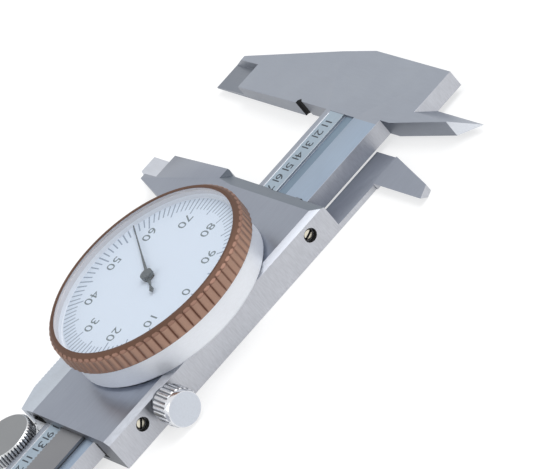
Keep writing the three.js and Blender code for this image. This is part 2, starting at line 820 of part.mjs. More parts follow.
addPiece(sliderBodies, 'slider_frame', makeSliderFrame(), satinSteel);
addPiece(sliderBodies, 'gib', makeGib(), brass);
gibScrewPlaces().forEach((x, i) => addPiece(sliderBodies, `gib_screw_${i + 1}`, makeGibScrew(x), paleSteel));
addPiece(sliderBodies, 'depth_rod', makeDepthRod(), steel);
addPiece(sliderBodies, 'depth_rod_screw', makeBackScrew(depthRodStart + depthRodScrewInset, 0, seatGap,
  beamBack + slideClearance + depthRodThickness), paleSteel);

// Lock screw: a knurled head on the side of the slider, with a shank that presses on the gib

function makeLockScrew() {
  const y0 = sliderSideY + slideClearance;
  const head = y0 + lockNeckLength;
  const end = head + lockHeadLength;
  return turnedAcross([
    [0, gibOuterY - slideClearance + seatGap],
    [lockShankRadius, gibOuterY - slideClearance + seatGap],
    [lockShankRadius, y0],
    [lockNeckRadius, y0],
    [lockNeckRadius, head],
    [lockHeadRadius - lockChamfer, head],
    [lockHeadRadius, head + lockChamfer],
    [lockHeadRadius, end - lockChamfer],
    [lockFaceRadius, end],
    [0, end],
  ], mediumSides, lockPlace, lockHeight);
}

addPiece(sliderBodies, 'lock_screw', makeLockScrew(), paleSteel);

// Thumb roller on the beam's edge, with its pin and bracket

function makeRoller() {
  return turned([
    [rollerPinRadius + pivotClearance, rollerBottom],
    [rollerHubRadius, rollerBottom],
    [rollerHubRadius, rollerRimBottom],
    [rollerRadius - rollerChamfer, rollerRimBottom],
    [rollerRadius, rollerRimBottom + rollerChamfer],
    [rollerRadius, rollerTop - rollerChamfer],
    [rollerRadius - rollerChamfer, rollerTop],
    [0, rollerTop],
    [0, rollerTop - rollerCap],
    [rollerPinRadius + pivotClearance, rollerTop - rollerCap],
  ], mediumSides, rollerPlace, rollerY);
}

function makeRollerPin() {
  return rod(rollerPlace, rollerY, bracketBottom, rollerTop - rollerCap - slideClearance,
    rollerPinRadius);
}

function makeBracket() {
  const armTop = bracketBottom + bracketArmThickness;
  const y0 = -halfBeam - bracketBlockWidth;
  const arm = prismUp([
    [sliderLength - bracketTongueLength, y0 - rollerRadius / 2],
    [sliderLength - bracketTongueLength, sliderThumbY - turnClearance],
    [sliderLength - bracketBlockLength + turnClearance * 2, sliderThumbY - turnClearance],
    [sliderLength, y0 + bracketBlockWidth - turnClearance],
    [rollerPlace, y0 + bracketBlockWidth - turnClearance],
    ...[-1, 0, 1, 2, 3].map((i) => onCircle(rollerRadius / 2, -i * Math.PI / 6, rollerPlace, rollerY)),
  ], bracketBottom, armTop);
  const start = sliderLength - bracketBlockLength + turnClearance;
  const end = rollerPlace - rollerRadius + overrun;
  const post = block(start, end, y0 - turnClearance, -halfBeam - turnClearance,
    bracketBottom, bracketBlockTop);
  const rollerRoom = rod(rollerPlace, rollerY, armTop, rollerTop + overrun, rollerRadius + turnClearance * 2,
    mediumSides);
  const pinHole = rod(rollerPlace, rollerY, -overrun, rollerTop, rollerPinRadius + seatGap);
  const screwHole = rod(bracketScrewX(), bracketScrewY(), -overrun, rollerTop, smallScrewRadius + seatGap);
  const headHole = rod(bracketScrewX(), bracketScrewY(), -overrun, bracketBottom + smallHeadHeight,
    smallHeadRadius + seatGap);
  return cut(joined(arm, post), rollerRoom, pinHole, screwHole, headHole);
}

addPiece(sliderBodies, 'thumb_roller', makeRoller(), satinSteel);
addPiece(sliderBodies, 'roller_pin', makeRollerPin(), paleSteel);
addPiece(sliderBodies, 'roller_bracket', makeBracket(), satinSteel);
addPiece(sliderBodies, 'bracket_screw',
  makeBackScrew(bracketScrewX(), bracketScrewY(), bracketBottom, bracketScrewTop()), paleSteel);

// Dial case on the slider's front, open in the middle for the movement

function makeCase() {
  const inner = caseRadius - caseWall;
  const ring = turned([
    [movementHoleRadius, caseBottom],
    [caseRadius - caseChamfer, caseBottom],
    [caseRadius, caseBottom + caseChamfer],
    [caseRadius, caseTop],
    [caseSpigotRadius, caseTop],
    [caseSpigotRadius, ringHeight - ringGrooveHeight / 2],
    [caseSpigotRadius - ringGrooveDepth, ringHeight - ringGrooveHeight / 2],
    [caseSpigotRadius - ringGrooveDepth, ringHeight + ringGrooveHeight / 2],
    [caseSpigotRadius, ringHeight + ringGrooveHeight / 2],
    [caseSpigotRadius, spigotTop],
    [inner - ringGrooveDepth, spigotTop],
    [inner - ringGrooveDepth, floorTop],
    [movementHoleRadius, floorTop],
  ], largeSides, dialPlace, dialY);
  const holes = caseScrewPlaces().map(([x, y]) => rod(x, y, caseBottom - overrun, floorTop + overrun,
    smallScrewRadius + seatGap));
  return cut(ring, ...holes, ...baseScrewHoles());
}

// A wire ring that keeps the bezel on the case and lets it turn, open at one place.
function makeBezelSpring() {
  const half = (ringGrooveHeight - turnClearance) / 2;
  const inner = caseSpigotRadius - ringGrooveDepth + seatGap;
  const ring = turned([
    [inner, ringHeight - half],
    [inner + half * 2, ringHeight - half],
    [inner + half * 2, ringHeight + half],
    [inner, ringHeight + half],
  ], largeSides, dialPlace, dialY);
  return ring.subtract(block(dialPlace, dialPlace + caseRadius * 2, dialY - overrun, dialY + overrun,
    caseTop, spigotTop));
}

// Bezel, crystal and dial face turn together on the case

function makeBezel() {
  return turned([
    [bezelInner, bezelBottom],
    [bezelRadius - bezelFootBevel, bezelBottom],
    [bezelRadius, bezelBottom + bezelFootBevel],
    [bezelRadius, bezelTop - bezelTopBevel],
    [bezelTopRadius, bezelTop],
    [crystalSightRadius, bezelTop],
    [crystalSightRadius, bezelTop - bezelLip],
    [crystalRadius + seatGap, bezelTop - bezelLip],
    [crystalRadius + seatGap, crystalBottom - seatGap],
    [bezelInner, crystalBottom - crystalLedge],
    [bezelInner, dialBottom - seatGap],
    [bezelInner - dialLedgeWidth, dialBottom - seatGap],
    [bezelInner - dialLedgeWidth, dialBottom - dialLedge],
    [bezelInner, dialBottom - dialLedge],
  ], largeSides, dialPlace, dialY);
}

function makeCrystal() {
  return rod(dialPlace, dialY, crystalBottom, bezelTop - bezelLip - seatGap, crystalRadius, largeSides);
}

function makeDialFace() {
  const face = rod(dialPlace, dialY, dialBottom, dialTop, bezelInner - seatGap, largeSides);
  return face.subtract(rod(dialPlace, dialY, dialBottom - overrun, dialTop + overrun, dialHoleRadius));
}

addPiece(sliderBodies, 'dial_case', makeCase(), satinCase);
caseScrewPlaces().forEach(([x, y], i) => {
  const screw = flatScrew(x, y, floorTop + seatGap + smallHeadHeight, caseScrewEnd,
    smallHeadRadius, i);
  addPiece(sliderBodies, `case_screw_${i + 1}`, screw, paleSteel);
});
addPiece(sliderBodies, 'bezel_spring', makeBezelSpring(), springSteel);
addPiece(sliderBodies, 'bezel', makeBezel(), copper);
addPiece(sliderBodies, 'crystal', makeCrystal(), clear);
addPiece(sliderBodies, 'dial_face', makeDialFace(), dialPaint);

// Movement: base plate, bridge on pillars, gears and hairspring

// Three places round the movement, turned from the line to the rack pinion's axis.
function movementPlaces(radius, turn) {
  return [0, 1, 2].map((i) => onCircle(radius, driveAngle + turn + 2 * Math.PI * i / 3, dialPlace, dialY));
}

function pillarPlaces() {
  return movementPlaces(movementRadius - pillarInset, pillarTurn);
}

function baseScrewPlaces() {
  return movementPlaces(baseScrewCircle, baseScrewTurn);
}

function baseScrewHoles() {
  return baseScrewPlaces().map(([x, y]) => rod(x, y, caseBottom - overrun, baseTop + overrun,
    smallScrewRadius + seatGap));
}

function arborHoles(z0, z1) {
  return [[dialPlace, dialY], rackPinionPlace, takeupPlace].map(([x, y]) => rod(x, y, z0 - overrun,
    z1 + overrun, arborRadius + pivotClearance));
}

function makeBase() {
  const plate = rod(dialPlace, dialY, baseBottom, baseTop, movementRadius, mediumSides);
  const pillarHoles = pillarPlaces().map(([x, y]) => rod(x, y, baseBottom - overrun, baseTop + overrun,
    smallScrewRadius + seatGap));
  return cut(plate, ...arborHoles(baseBottom, baseTop), ...baseScrewHoles(), ...pillarHoles);
}

function makePillar([x, y]) {
  return cut(rod(x, y, baseTop + seatGap, bridgeBottom - seatGap, pillarRadius),
    rod(x, y, baseTop - overrun, bridgeBottom + overrun, smallScrewRadius + seatGap));
}

function makeBridge() {
  const plate = rod(dialPlace, dialY, bridgeBottom, bridgeTop, movementRadius, mediumSides);
  const holes = pillarPlaces().map(([x, y]) => rod(x, y, bridgeBottom - overrun, bridgeTop + overrun,
    smallScrewRadius + seatGap));
  const studHole = rod(...springStudPlace(), bridgeBottom - overrun, bridgeTop + overrun,
    springStudRadius + seatGap, smallSides / 2);
  return cut(plate, ...arborHoles(bridgeBottom, bridgeTop), ...holes, studHole);
}

// A gear's outline: each tooth is a straight-sided point between two roots.
function gearOutline(teeth, module, x, y, turn) {
  const root = module * (teeth / 2 - dedendumShare);
  const tip = module * (teeth / 2 + addendumShare);
  const pitch = 2 * Math.PI / teeth;
  const points = [];
  for (let i = 0; i < teeth; i += 1) {
    const middle = turn + i * pitch;
    points.push(onCircle(root, middle - pitch / 2, x, y));
    points.push(onCircle(tip, middle, x, y));
  }
  return points;
}

// The driven teeth meet the centre pinion's gaps on the line between the two axes.
const centrePinionTurn = driveAngle + Math.PI / centrePinionTeeth;
const driveGearTurn = driveAngle + Math.PI;
const takeupGapTurn = (takeupAngle - centrePinionTurn) * centrePinionTeeth / (2 * Math.PI);
const takeupGearTurn = takeupAngle + Math.PI
  + (takeupGapTurn - Math.floor(takeupGapTurn) - 1 / 2) * 2 * Math.PI / driveGearTeeth;

function makeRackPinion() {
  const [x, y] = rackPinionPlace;
  const bottom = beamFront + slideClearance;
  const teeth = prismUp(gearOutline(rackPinionTeeth, rackPitch / Math.PI, x, y, rackPinionTurn()),
    bottom, bottom + rackPinionHeight);
  return teeth.add(rod(x, y, bottom, bridgeTop, arborRadius));
}

// A gap of the pinion faces each rack tooth: the angle follows from the rack's first tooth.
function rackPinionTurn() {
  const firstTooth = rackStart + rackPitch / 2;
  const place = (jawOpening + rackPinionX - firstTooth) / rackPitch;
  const offset = place - Math.round(place);
  return Math.PI / 2 + (1 / 2 + offset) * 2 * Math.PI / rackPinionTeeth;
}

function makeDriveGear() {
  const [x, y] = rackPinionPlace;
  const wheel = prismUp(gearOutline(driveGearTeeth, gearModule, x, y, driveGearTurn),
    driveGearBottom, driveGearBottom + gearThickness);
  const hub = rod(x, y, driveGearBottom, driveGearBottom + gearThickness + hubHeight, hubRadius);
  return wheel.add(hub).subtract(rod(x, y, baseTop, bridgeBottom, arborRadius + seatGap));
}

function makeTakeupGear() {
  const [x, y] = takeupPlace;
  const wheel = prismUp(gearOutline(driveGearTeeth, gearModule, x, y, takeupGearTurn),
    takeupGearBottom, takeupGearBottom + gearThickness);
  return wheel.subtract(rod(x, y, baseTop, bridgeBottom, arborRadius + seatGap));
}

function makeTakeupArbor() {
  const [x, y] = takeupPlace;
  const z0 = baseBottom;
  return rod(x, y, z0, bridgeTop, arborRadius);
}

function makeCentreArbor() {
  const top = takeupGearBottom + gearThickness + gearGap / 2;
  const teeth = prismUp(gearOutline(centrePinionTeeth, gearModule, dialPlace, dialY, centrePinionTurn),
    driveGearBottom - gearGap / 2, top);
  return teeth.add(rod(dialPlace, dialY, baseBottom, centreArborTop, arborRadius));
}

// The hairspring is a flat strip wound outwards from the take-up arbor to its stud.
function springPoint(angle, side) {
  const radius = springInner + springPitch * angle / (2 * Math.PI) + side * springStrip / 2;
  return onCircle(radius, angle, ...takeupPlace);
}

function makeHairspring() {
  const steps = springTurns * springSteps;
  const angles = Array.from({ length: steps + 1 }, (_, i) => 2 * Math.PI * springTurns * i / steps);
  const outer = angles.map((angle) => springPoint(angle, 1));
  const inner = angles.reverse().map((angle) => springPoint(angle, -1));
  return prismUp([...outer, ...inner], springBottom, springBottom + springHeight);
}

function springStudPlace() {
  const radius = springInner + springPitch * springTurns + springStrip / 2 + springStudRadius + seatGap;
  return onCircle(radius, 2 * Math.PI * springTurns, ...takeupPlace);
}

function makeSpringStud() {
  return rod(...springStudPlace(), springBottom, bridgeTop, springStudRadius, smallSides / 2);
}

addPiece(sliderBodies, 'movement_base', makeBase(), brass);
baseScrewPlaces().forEach(([x, y], i) => {
  const screw = flatScrew(x, y, baseTop + seatGap + smallHeadHeight, caseBottom + seatGap,
    smallHeadRadius, i);
  addPiece(sliderBodies, `base_screw_${i + 1}`, screw, paleSteel);
});
pillarPlaces().forEach((place, i) => {
  addPiece(sliderBodies, `bridge_pillar_${i + 1}`, makePillar(place), brass);
});
addPiece(sliderBodies, 'movement_bridge', makeBridge(), brass);
pillarPlaces().forEach(([x, y], i) => {
  const screw = flatScrew(x, y, bridgeTop + seatGap + smallHeadHeight, baseBottom + seatGap,
    smallHeadRadius, i);
  addPiece(sliderBodies, `bridge_screw_${i + 1}`, screw, paleSteel);
});
addPiece(sliderBodies, 'rack_pinion', makeRackPinion(), steel);
addPiece(sliderBodies, 'drive_gear', makeDriveGear(), brass);
addPiece(sliderBodies, 'takeup_gear', makeTakeupGear(), brass);
addPiece(sliderBodies, 'takeup_arbor', makeTakeupArbor(), steel);
addPiece(sliderBodies, 'hairspring', makeHairspring(), springSteel);
addPiece(sliderBodies, 'spring_stud', makeSpringStud(), brass);
addPiece(sliderBodies, 'centre_arbor', makeCentreArbor(), steel);

// Pointer: a thin needle with a round hub and a short tail that ends in a diamond

function makePointer() {
  const z0 = pointerBottom;
  const tailStart = pointerTailReach * 0.62;
  const tailMiddleShare = 0.84;
  const needle = [
    [pointerNeedleHalfWidth, pointerHubRadius / 2],
    [pointerSlimHalfWidth, pointerSlimStart],
    [pointerTipHalfWidth, crystalSightRadius - pointerTipInset],
    [-pointerTipHalfWidth, crystalSightRadius - pointerTipInset],
    [-pointerSlimHalfWidth, pointerSlimStart],
    [-pointerNeedleHalfWidth, pointerHubRadius / 2],
    [-pointerTailRootHalfWidth, -pointerHubRadius / 2],
    [-pointerNeckHalfWidth, -tailStart],
    [-pointerHalfWidth, -pointerTailReach * tailMiddleShare],
    [0, -pointerTailReach],
    [pointerHalfWidth, -pointerTailReach * tailMiddleShare],
    [pointerNeckHalfWidth, -tailStart],
    [pointerTailRootHalfWidth, -pointerHubRadius / 2],
  ].map(([x, y]) => turnedPoint(x, y, pointerAngle));
  const hub = rod(dialPlace, dialY, z0, pointerTop, pointerHubRadius);
  const bore = rod(dialPlace, dialY, z0 - overrun, centreArborTop + seatGap, arborRadius + seatGap);
  return prismUp(needle, z0, z0 + pointerThickness).add(hub).subtract(bore);
}

function turnedPoint(x, y, angle) {
  const across = x * Math.cos(angle) - y * Math.sin(angle);
  const along = x * Math.sin(angle) + y * Math.cos(angle);
  return [dialPlace + across, dialY + along];
}

addPiece(sliderBodies, 'pointer', makePointer(), darkMetal);

// Origin at the bottom centre of the box round all pieces

const caliper = new THREE.Group();
caliper.add(beamBodies, sliderBodies);
const box = new THREE.Box3().setFromObject(caliper);
const centre = box.getCenter(new THREE.Vector3());
caliper.position.set(-centre.x, -centre.y, -box.min.z);
const part = new THREE.Group();
part.add(caliper);

export default part;
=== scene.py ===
import math

import bmesh
import bpy
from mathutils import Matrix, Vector


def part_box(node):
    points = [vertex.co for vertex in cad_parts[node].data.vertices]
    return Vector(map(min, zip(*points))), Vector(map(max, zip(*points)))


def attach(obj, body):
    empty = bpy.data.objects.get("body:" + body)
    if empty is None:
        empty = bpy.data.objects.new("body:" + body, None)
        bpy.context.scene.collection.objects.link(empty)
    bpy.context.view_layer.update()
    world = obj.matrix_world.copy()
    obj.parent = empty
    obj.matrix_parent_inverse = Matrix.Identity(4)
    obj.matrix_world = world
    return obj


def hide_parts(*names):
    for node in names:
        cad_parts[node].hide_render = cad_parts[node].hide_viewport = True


bl_info = {
    "name": "Dial caliper",
    "version": (1, 0, 0),
    "blender": (4, 5, 0),
    "location": "View3D > Sidebar > Caliper",
    "description": "Dresses the packed dial caliper and sets it on a plain studio floor",
    "category": "Object",
}

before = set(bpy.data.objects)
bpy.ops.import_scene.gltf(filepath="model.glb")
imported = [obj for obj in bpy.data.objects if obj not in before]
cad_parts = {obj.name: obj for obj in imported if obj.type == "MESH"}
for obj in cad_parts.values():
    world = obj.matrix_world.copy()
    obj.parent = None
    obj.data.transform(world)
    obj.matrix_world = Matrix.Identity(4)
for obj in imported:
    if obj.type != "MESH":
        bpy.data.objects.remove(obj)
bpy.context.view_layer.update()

MM = 0.001
TURN = 2 * math.pi

beam_low, beam_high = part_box("beam")
slider_low, slider_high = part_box("slider_frame")
bezel_low, bezel_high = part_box("bezel")
dial_low, dial_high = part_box("dial_face")

# The fixed jaw's face, the beam's centreline and the dial's middle place everything else.
FIXED_HEAD = 14 * MM  # from the head's end to the fixed jaw's face
NIB_HEIGHT = 29 * MM  # from the beam's centreline to the fixed nib's tip
NIB_OVERHANG = 14.15 * MM  # from the moving nib's foremost point to the moving jaw's face
JAW_FACE = beam_low.x + FIXED_HEAD
CENTRELINE = beam_high.y - NIB_HEIGHT
SLIDER_EDGE = slider_low.x + NIB_OVERHANG
DIAL_CENTRE = Vector(((bezel_low.x + bezel_high.x) / 2, (bezel_low.y + bezel_high.y) / 2, 0))
# The bezel was left turned by a hair, so its grooves and the dial's zero stand off the +Y axis.
DIAL_TURN = math.radians(0.7)
GROOVE_TURN = math.radians(4.3)

# Place, turn in degrees and focal length in millimetres, fitted to the photograph
CAMERA_PLACE = Vector((0.139326, 0.812344, 0.455981))
CAMERA_TURN = (54.2975, 34.9441, 141.982)
FOCAL_LENGTH = 387.608

# Least share of a face's normal on an axis for the face to look that much that way
SLIGHTLY, PARTLY, HALF, MAINLY, FULLY, SQUARELY = 0.2, 0.3, 0.5, 0.7, 0.9, 0.97


def srgb(red, green, blue):
    """A colour as it looks on a screen, 0 to 255, as the linear colour that a shader takes."""
    levels = [channel / 255 for channel in (red, green, blue)]
    return tuple(v / 12.92 if v <= 0.04045 else ((v + 0.055) / 1.055) ** 2.4 for v in levels)


def on_beam(x, y, z=0.0):
    """A point given in millimetres from the fixed jaw's face and the beam's centreline."""
    return Vector((JAW_FACE + x * MM, CENTRELINE + y * MM, z * MM))


def on_slider(x, y, z=0.0):
    """A point given in millimetres from the moving jaw's face and the beam's centreline."""
    return Vector((SLIDER_EDGE + x * MM, CENTRELINE + y * MM, z * MM))


def off_axis(point):
    """How far a point lies from the Z axis."""
    return math.hypot(point.x, point.y)


def between(value, span):
    low, high = span
    return low < value < high


def round_size(low, high, axis):
    """A round piece's foot, and its height along an axis and its radius in millimetres."""
    foot = (low + high) / 2
    foot[axis] = low[axis]
    return foot, (high[axis] - low[axis]) / MM, (high.x - low.x) / 2 / MM


# Sizes and colours that a user would change


def length(name, description, default):
    return bpy.props.FloatProperty(
        name=name, description=description, default=default, min=0.0, subtype="DISTANCE", unit="LENGTH"
    )


def number(name, description, default, least, most):
    return bpy.props.IntProperty(
        name=name, description=description, default=default, min=least, max=most, subtype="UNSIGNED"
    )


def colour(name, description, default):
    return bpy.props.FloatVectorProperty(
        name=name, description=description, default=default, min=0.0, max=1.0, subtype="COLOR"
    )


class CaliperSizes(bpy.types.PropertyGroup):
    edge_bevel: length("Edge bevel", "Width of the broken edge round the steel bodies", 0.14 * MM)
    mark_spacing: length("Mark spacing", "Distance between the beam scale's marks", 2.54 * MM)
    mark_width: length("Mark width", "Width of a mark on the beam's scale", 0.26 * MM)
    mark_length: length("Mark length", "Length of a mark on the beam's scale", 2.1 * MM)
    digit_height: length("Digit height", "Height of a tenth's number on the beam", 1.95 * MM)
    inch_digit_height: length("Inch digit height", "Height of an inch number on the beam", 2.3 * MM)
    dial_digit_height: length("Dial digit height", "Height of a number on the dial", 2.1 * MM)
    dial_digit_radius: length(
        "Dial digit radius", "Distance of the numbers from the dial's middle", 12.32 * MM
    )
    tick_radius: length("Tick radius", "Outer ends of the dial's ticks", 17.45 * MM)
    tick_width: length("Tick width", "Width of a tick on the dial", 0.25 * MM)
    slot_width: length("Screw slot", "Width of the slot in a gib screw", 0.42 * MM)
    bezel_groove_depth: length("Bezel groove depth", "Depth of a finger groove in the bezel", 0.38 * MM)
    bezel_grooves: number("Bezel grooves", "Finger grooves round the bezel", 75, 12, 150)
    roller_grooves: number("Roller grooves", "Grip grooves round the thumb roller", 50, 12, 100)
    lock_grooves: number("Lock screw grooves", "Grip grooves round the lock screw's head", 24, 8, 60)


class CaliperColours(bpy.types.PropertyGroup):
    steel: colour("Satin steel", "Front faces of the beam and of the fixed jaw", srgb(158, 164, 174))
    # Painted light: the side faces take a lighter copy of the satin steel, as the lit sides
    bright_steel: colour("Lit flank steel", "Side faces of the beam, jaws and slider", srgb(192, 194, 200))
    strip: colour("Scale strip", "The beam's scale strip", srgb(164, 179, 191))
    groove: colour("Rack groove", "Floor of the groove beside the rack", srgb(128, 146, 162))
    rack: colour("Rack", "The rack's top face", srgb(136, 137, 140))
    case: colour("Dial case", "Satin dial case", srgb(240, 243, 248))
    copper: colour("Bezel", "Copper-brown bezel", srgb(168, 136, 119))
    dial: colour("Dial face", "Painted dial face", srgb(209, 220, 234))
    print: colour("Scale filling", "Black filling of the beam's marks", srgb(52, 60, 68))
    dial_print: colour("Dial numbers", "Grey-green numbers on the dial", srgb(96, 110, 116))
    dial_ticks: colour("Dial ticks", "Grey-blue ticks on the dial", srgb(138, 152, 170))
    pointer: colour("Pointer", "Slate paint of the pointer", srgb(44, 56, 62))


# Tools of the bench


def deselect():
    if bpy.context.object and bpy.context.object.mode != "OBJECT":
        leave()
    bpy.ops.object.select_all(action="DESELECT")


def take_up(piece):
    """Makes one object the only one that is selected and active."""
    deselect()
    piece.select_set(True)
    bpy.context.view_layer.objects.active = piece


def edit(piece):
    take_up(piece)
    bpy.ops.object.mode_set(mode="EDIT")
    bpy.context.tool_settings.mesh_select_mode = (True, False, False)
    bpy.ops.mesh.select_all(action="DESELECT")


def leave():
    bpy.ops.object.mode_set(mode="OBJECT")


def pick_all():
    bpy.ops.mesh.select_all(action="SELECT")


def face_outward():
    """In edit mode, turns every face outward and leaves the mode."""
    pick_all()
    bpy.ops.mesh.normals_make_consistent(inside=False)
    leave()


def pick(piece, wanted, kind="verts"):
    """In edit mode, selects just the verts or faces for which wanted is true, and says how many."""
    bpy.context.tool_settings.mesh_select_mode = (kind == "verts", False, kind == "faces")
    bpy.ops.mesh.select_all(action="DESELECT")
    shape = bmesh.from_edit_mesh(piece.data)
    found = [element for element in getattr(shape, kind) if wanted(element)]
    for element in found:
        element.select_set(True)
    shape.select_flush_mode()
    bmesh.update_edit_mesh(piece.data)
    return len(found)


def split(piece, wanted, place, across):
    """Splits the wanted faces where a plane crosses them, so that each side can take its own finish."""
    edit(piece)
    pick(piece, wanted, "faces")
    bpy.ops.mesh.bisect(plane_co=place, plane_no=across)
    leave()


def settle(piece, place, turn=(0, 0, 0)):
    """Puts a piece at its place and writes that place into its mesh."""
    take_up(piece)
    piece.location = place
    piece.rotation_euler = turn
    bpy.ops.object.transform_apply(location=True, rotation=True, scale=True)


def join(pieces):
    take_up(pieces[0])
    for piece in pieces:
        piece.select_set(True)
    bpy.ops.object.join()
    return pieces[0]


def in_a_row(piece, spacing, count):
    """Repeats a piece along X."""
    take_up(piece)
    row = piece.modifiers.new("row", "ARRAY")
    row.use_relative_offset = False
    row.use_constant_offset = True
    row.constant_offset_displace = (spacing, 0, 0)
    row.count = count
    bpy.ops.object.modifier_apply(modifier=row.name)


def cut_with(piece, cutter):
    """Cuts the cutter's shape out of a piece and clears the cutter away."""
    take_up(piece)
    cut = piece.modifiers.new("cut", "BOOLEAN")
    cut.operation = "DIFFERENCE"
    cut.solver = "EXACT"
    cut.object = cutter
    bpy.ops.object.modifier_apply(modifier=cut.name)
    bpy.data.objects.remove(cutter)


def smooth(piece, angle=30):
    take_up(piece)
    bpy.ops.object.shade_smooth_by_angle(angle=math.radians(angle))


def mount(piece, name, body, slot, *nodes):
    """Names a piece, lets it ride on its body, and says which CAD nodes it stands for."""
    piece.name = name
    piece.data.name = name
    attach(piece, body)
    if nodes:
        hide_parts(*nodes)
    deselect()


def turned(steps, sides, closed=False):
    """Turns a piece about Z: a ring of edges drawn through (radius, height) steps in millimetres."""
    deselect()
    radius, height = steps[0]
    bpy.ops.mesh.primitive_circle_add(vertices=sides, radius=radius * MM, fill_type="NOTHING")
    piece = bpy.context.object
    settle(piece, (0, 0, height * MM))
    edit(piece)
    pick_all()
    if not closed:
        bpy.ops.mesh.edge_face_add()
        pick_all()
    for (radius, height), (next_radius, next_height) in zip(steps, steps[1:]):
        bpy.ops.mesh.extrude_edges_move(
            MESH_OT_extrude_edges_indiv={"use_normal_flip": False},
            TRANSFORM_OT_translate={"value": (0, 0, (next_height - height) * MM)},
        )
        share = next_radius / radius
        bpy.ops.transform.resize(value=(share, share, 1), center_override=(0, 0, 0))
    if closed:
        bpy.ops.mesh.select_all(action="DESELECT")
        bpy.ops.mesh.select_non_manifold(extend=False, use_boundary=True)
        bpy.ops.mesh.bridge_edge_loops()
    else:
        bpy.ops.mesh.edge_face_add()
    face_outward()
    return piece


def cut_grooves(piece, count, depth, low, high, shares):
    """Draws vertices of a turned wall towards its axis, so that grooves run along it.

    low and high are heights in millimetres. shares gives how deep each vertex of one pitch goes,
    as a share of depth.
    """
    hair, near, wall_share = 1e-7, 1e-6, 0.9
    edit(piece)
    pitch = len(shares)
    sides = count * pitch
    places = [vertex.co for vertex in piece.data.vertices]
    outer = max(off_axis(place) for place in places)
    levels = sorted({(round(place.z, 7), round(off_axis(place), 7)) for place in places})
    for height, radius in levels:
        if not low * MM - hair <= height <= high * MM + hair:
            continue
        for share in sorted(set(shares)):
            floor = outer - depth * share
            if share == 0 or floor >= radius or radius < wall_share * outer:
                continue

            def in_groove(vertex):
                if abs(vertex.co.z - height) > near or abs(off_axis(vertex.co) - radius) > near:
                    return False
                step = round(math.atan2(vertex.co.y, vertex.co.x) / TURN * sides) % sides
                return shares[step % pitch] == share

            if pick(piece, in_groove):
                scale = floor / radius
                bpy.ops.transform.resize(value=(scale, scale, 1), center_override=(0, 0, 0))
    leave()


def dressed_copy(node, bevel, shortest=0.9):
    """A merged copy of a CAD node, with its sharp edges broken by a small bevel.

    Edges shorter than shortest, in millimetres, stay sharp. The bevel's faces take the second material.
    """
    merge, flat, sharp = 0.0015 * MM, math.radians(0.6), math.radians(28)
    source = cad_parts[node]
    piece = bpy.data.objects.new(node + "_dressed", source.data.copy())
    bpy.context.scene.collection.objects.link(piece)
    piece.data.materials.clear()
    edit(piece)
    pick_all()
    bpy.ops.mesh.remove_doubles(threshold=merge)
    bpy.ops.mesh.dissolve_limited(angle_limit=flat)
    leave()
    weights = piece.data.attributes.new("bevel_weight_edge", "FLOAT", "EDGE")
    shape = bmesh.new()
    shape.from_mesh(piece.data)
    chosen = [
        edge.is_manifold and edge.calc_face_angle(0) > sharp and edge.calc_length() > shortest * MM
        for edge in shape.edges
    ]
    shape.free()
    for index, wanted in enumerate(chosen):
        weights.data[index].value = float(wanted)
    take_up(piece)
    broken = piece.modifiers.new("broken edges", "BEVEL")
    broken.limit_method = "WEIGHT"
    broken.width = bevel
    broken.segments = 2
    broken.use_clamp_overlap = True
    broken.material = 1
    broken.miter_outer = "MITER_SHARP"
    bpy.ops.object.modifier_apply(modifier=broken.name)
    while piece.data.uv_layers:
        piece.data.uv_layers.remove(piece.data.uv_layers[0])
    smooth(piece, angle=24)
    return piece


def lettering(text, height, place):
    """Plain digits made a mesh, their middle at place and their top towards +Y."""
    figure_share, thickness = 0.7, 0.012 * MM
    deselect()
    bpy.ops.object.text_add()
    writing = bpy.context.object
    writing.data.body = text
    writing.data.size = height / figure_share
    writing.data.align_x = "CENTER"
    writing.data.align_y = "CENTER"
    writing.data.extrude = thickness
    writing.data.resolution_u = 3
    writing.data.space_character = 1.05
    bpy.ops.object.convert(target="MESH")
    writing = bpy.context.object
    spans = [[corner[axis] for corner in writing.bound_box] for axis in (0, 1)]
    middle = Vector((*[(min(span) + max(span)) / 2 for span in spans], 0))
    settle(writing, Vector(place) - middle)
    return writing


def bar(width, run, place, turn=0.0, round_share=0.3):
    """A flat mark with rounded corners: a plane drawn down into the surface, its middle at place."""
    depth = 0.02 * MM
    deselect()
    bpy.ops.mesh.primitive_plane_add(size=1)
    mark = bpy.context.object
    mark.scale = (width, run, 1)
    bpy.ops.object.transform_apply(location=False, rotation=False, scale=True)
    edit(mark)
    pick_all()
    bpy.ops.mesh.bevel(offset=min(width, run) * round_share, segments=2, affect="VERTICES")
    pick_all()
    bpy.ops.mesh.extrude_region_move(TRANSFORM_OT_translate={"value": (0, 0, -depth)})
    face_outward()
    settle(mark, place, (0, 0, turn))
    return mark


# Materials

# Sockets of a colour mix
SHARE, FIRST, SECOND, MIXED = 0, 6, 7, 2

# How often the grain repeats per metre along X, Y and Z
ALONG, ACROSS = (220, 5200, 5200), (5200, 220, 5200)
EVEN, CLOSE, TURNED = (2600, 2600, 2600), (3200, 3200, 3200), (900, 900, 3600)

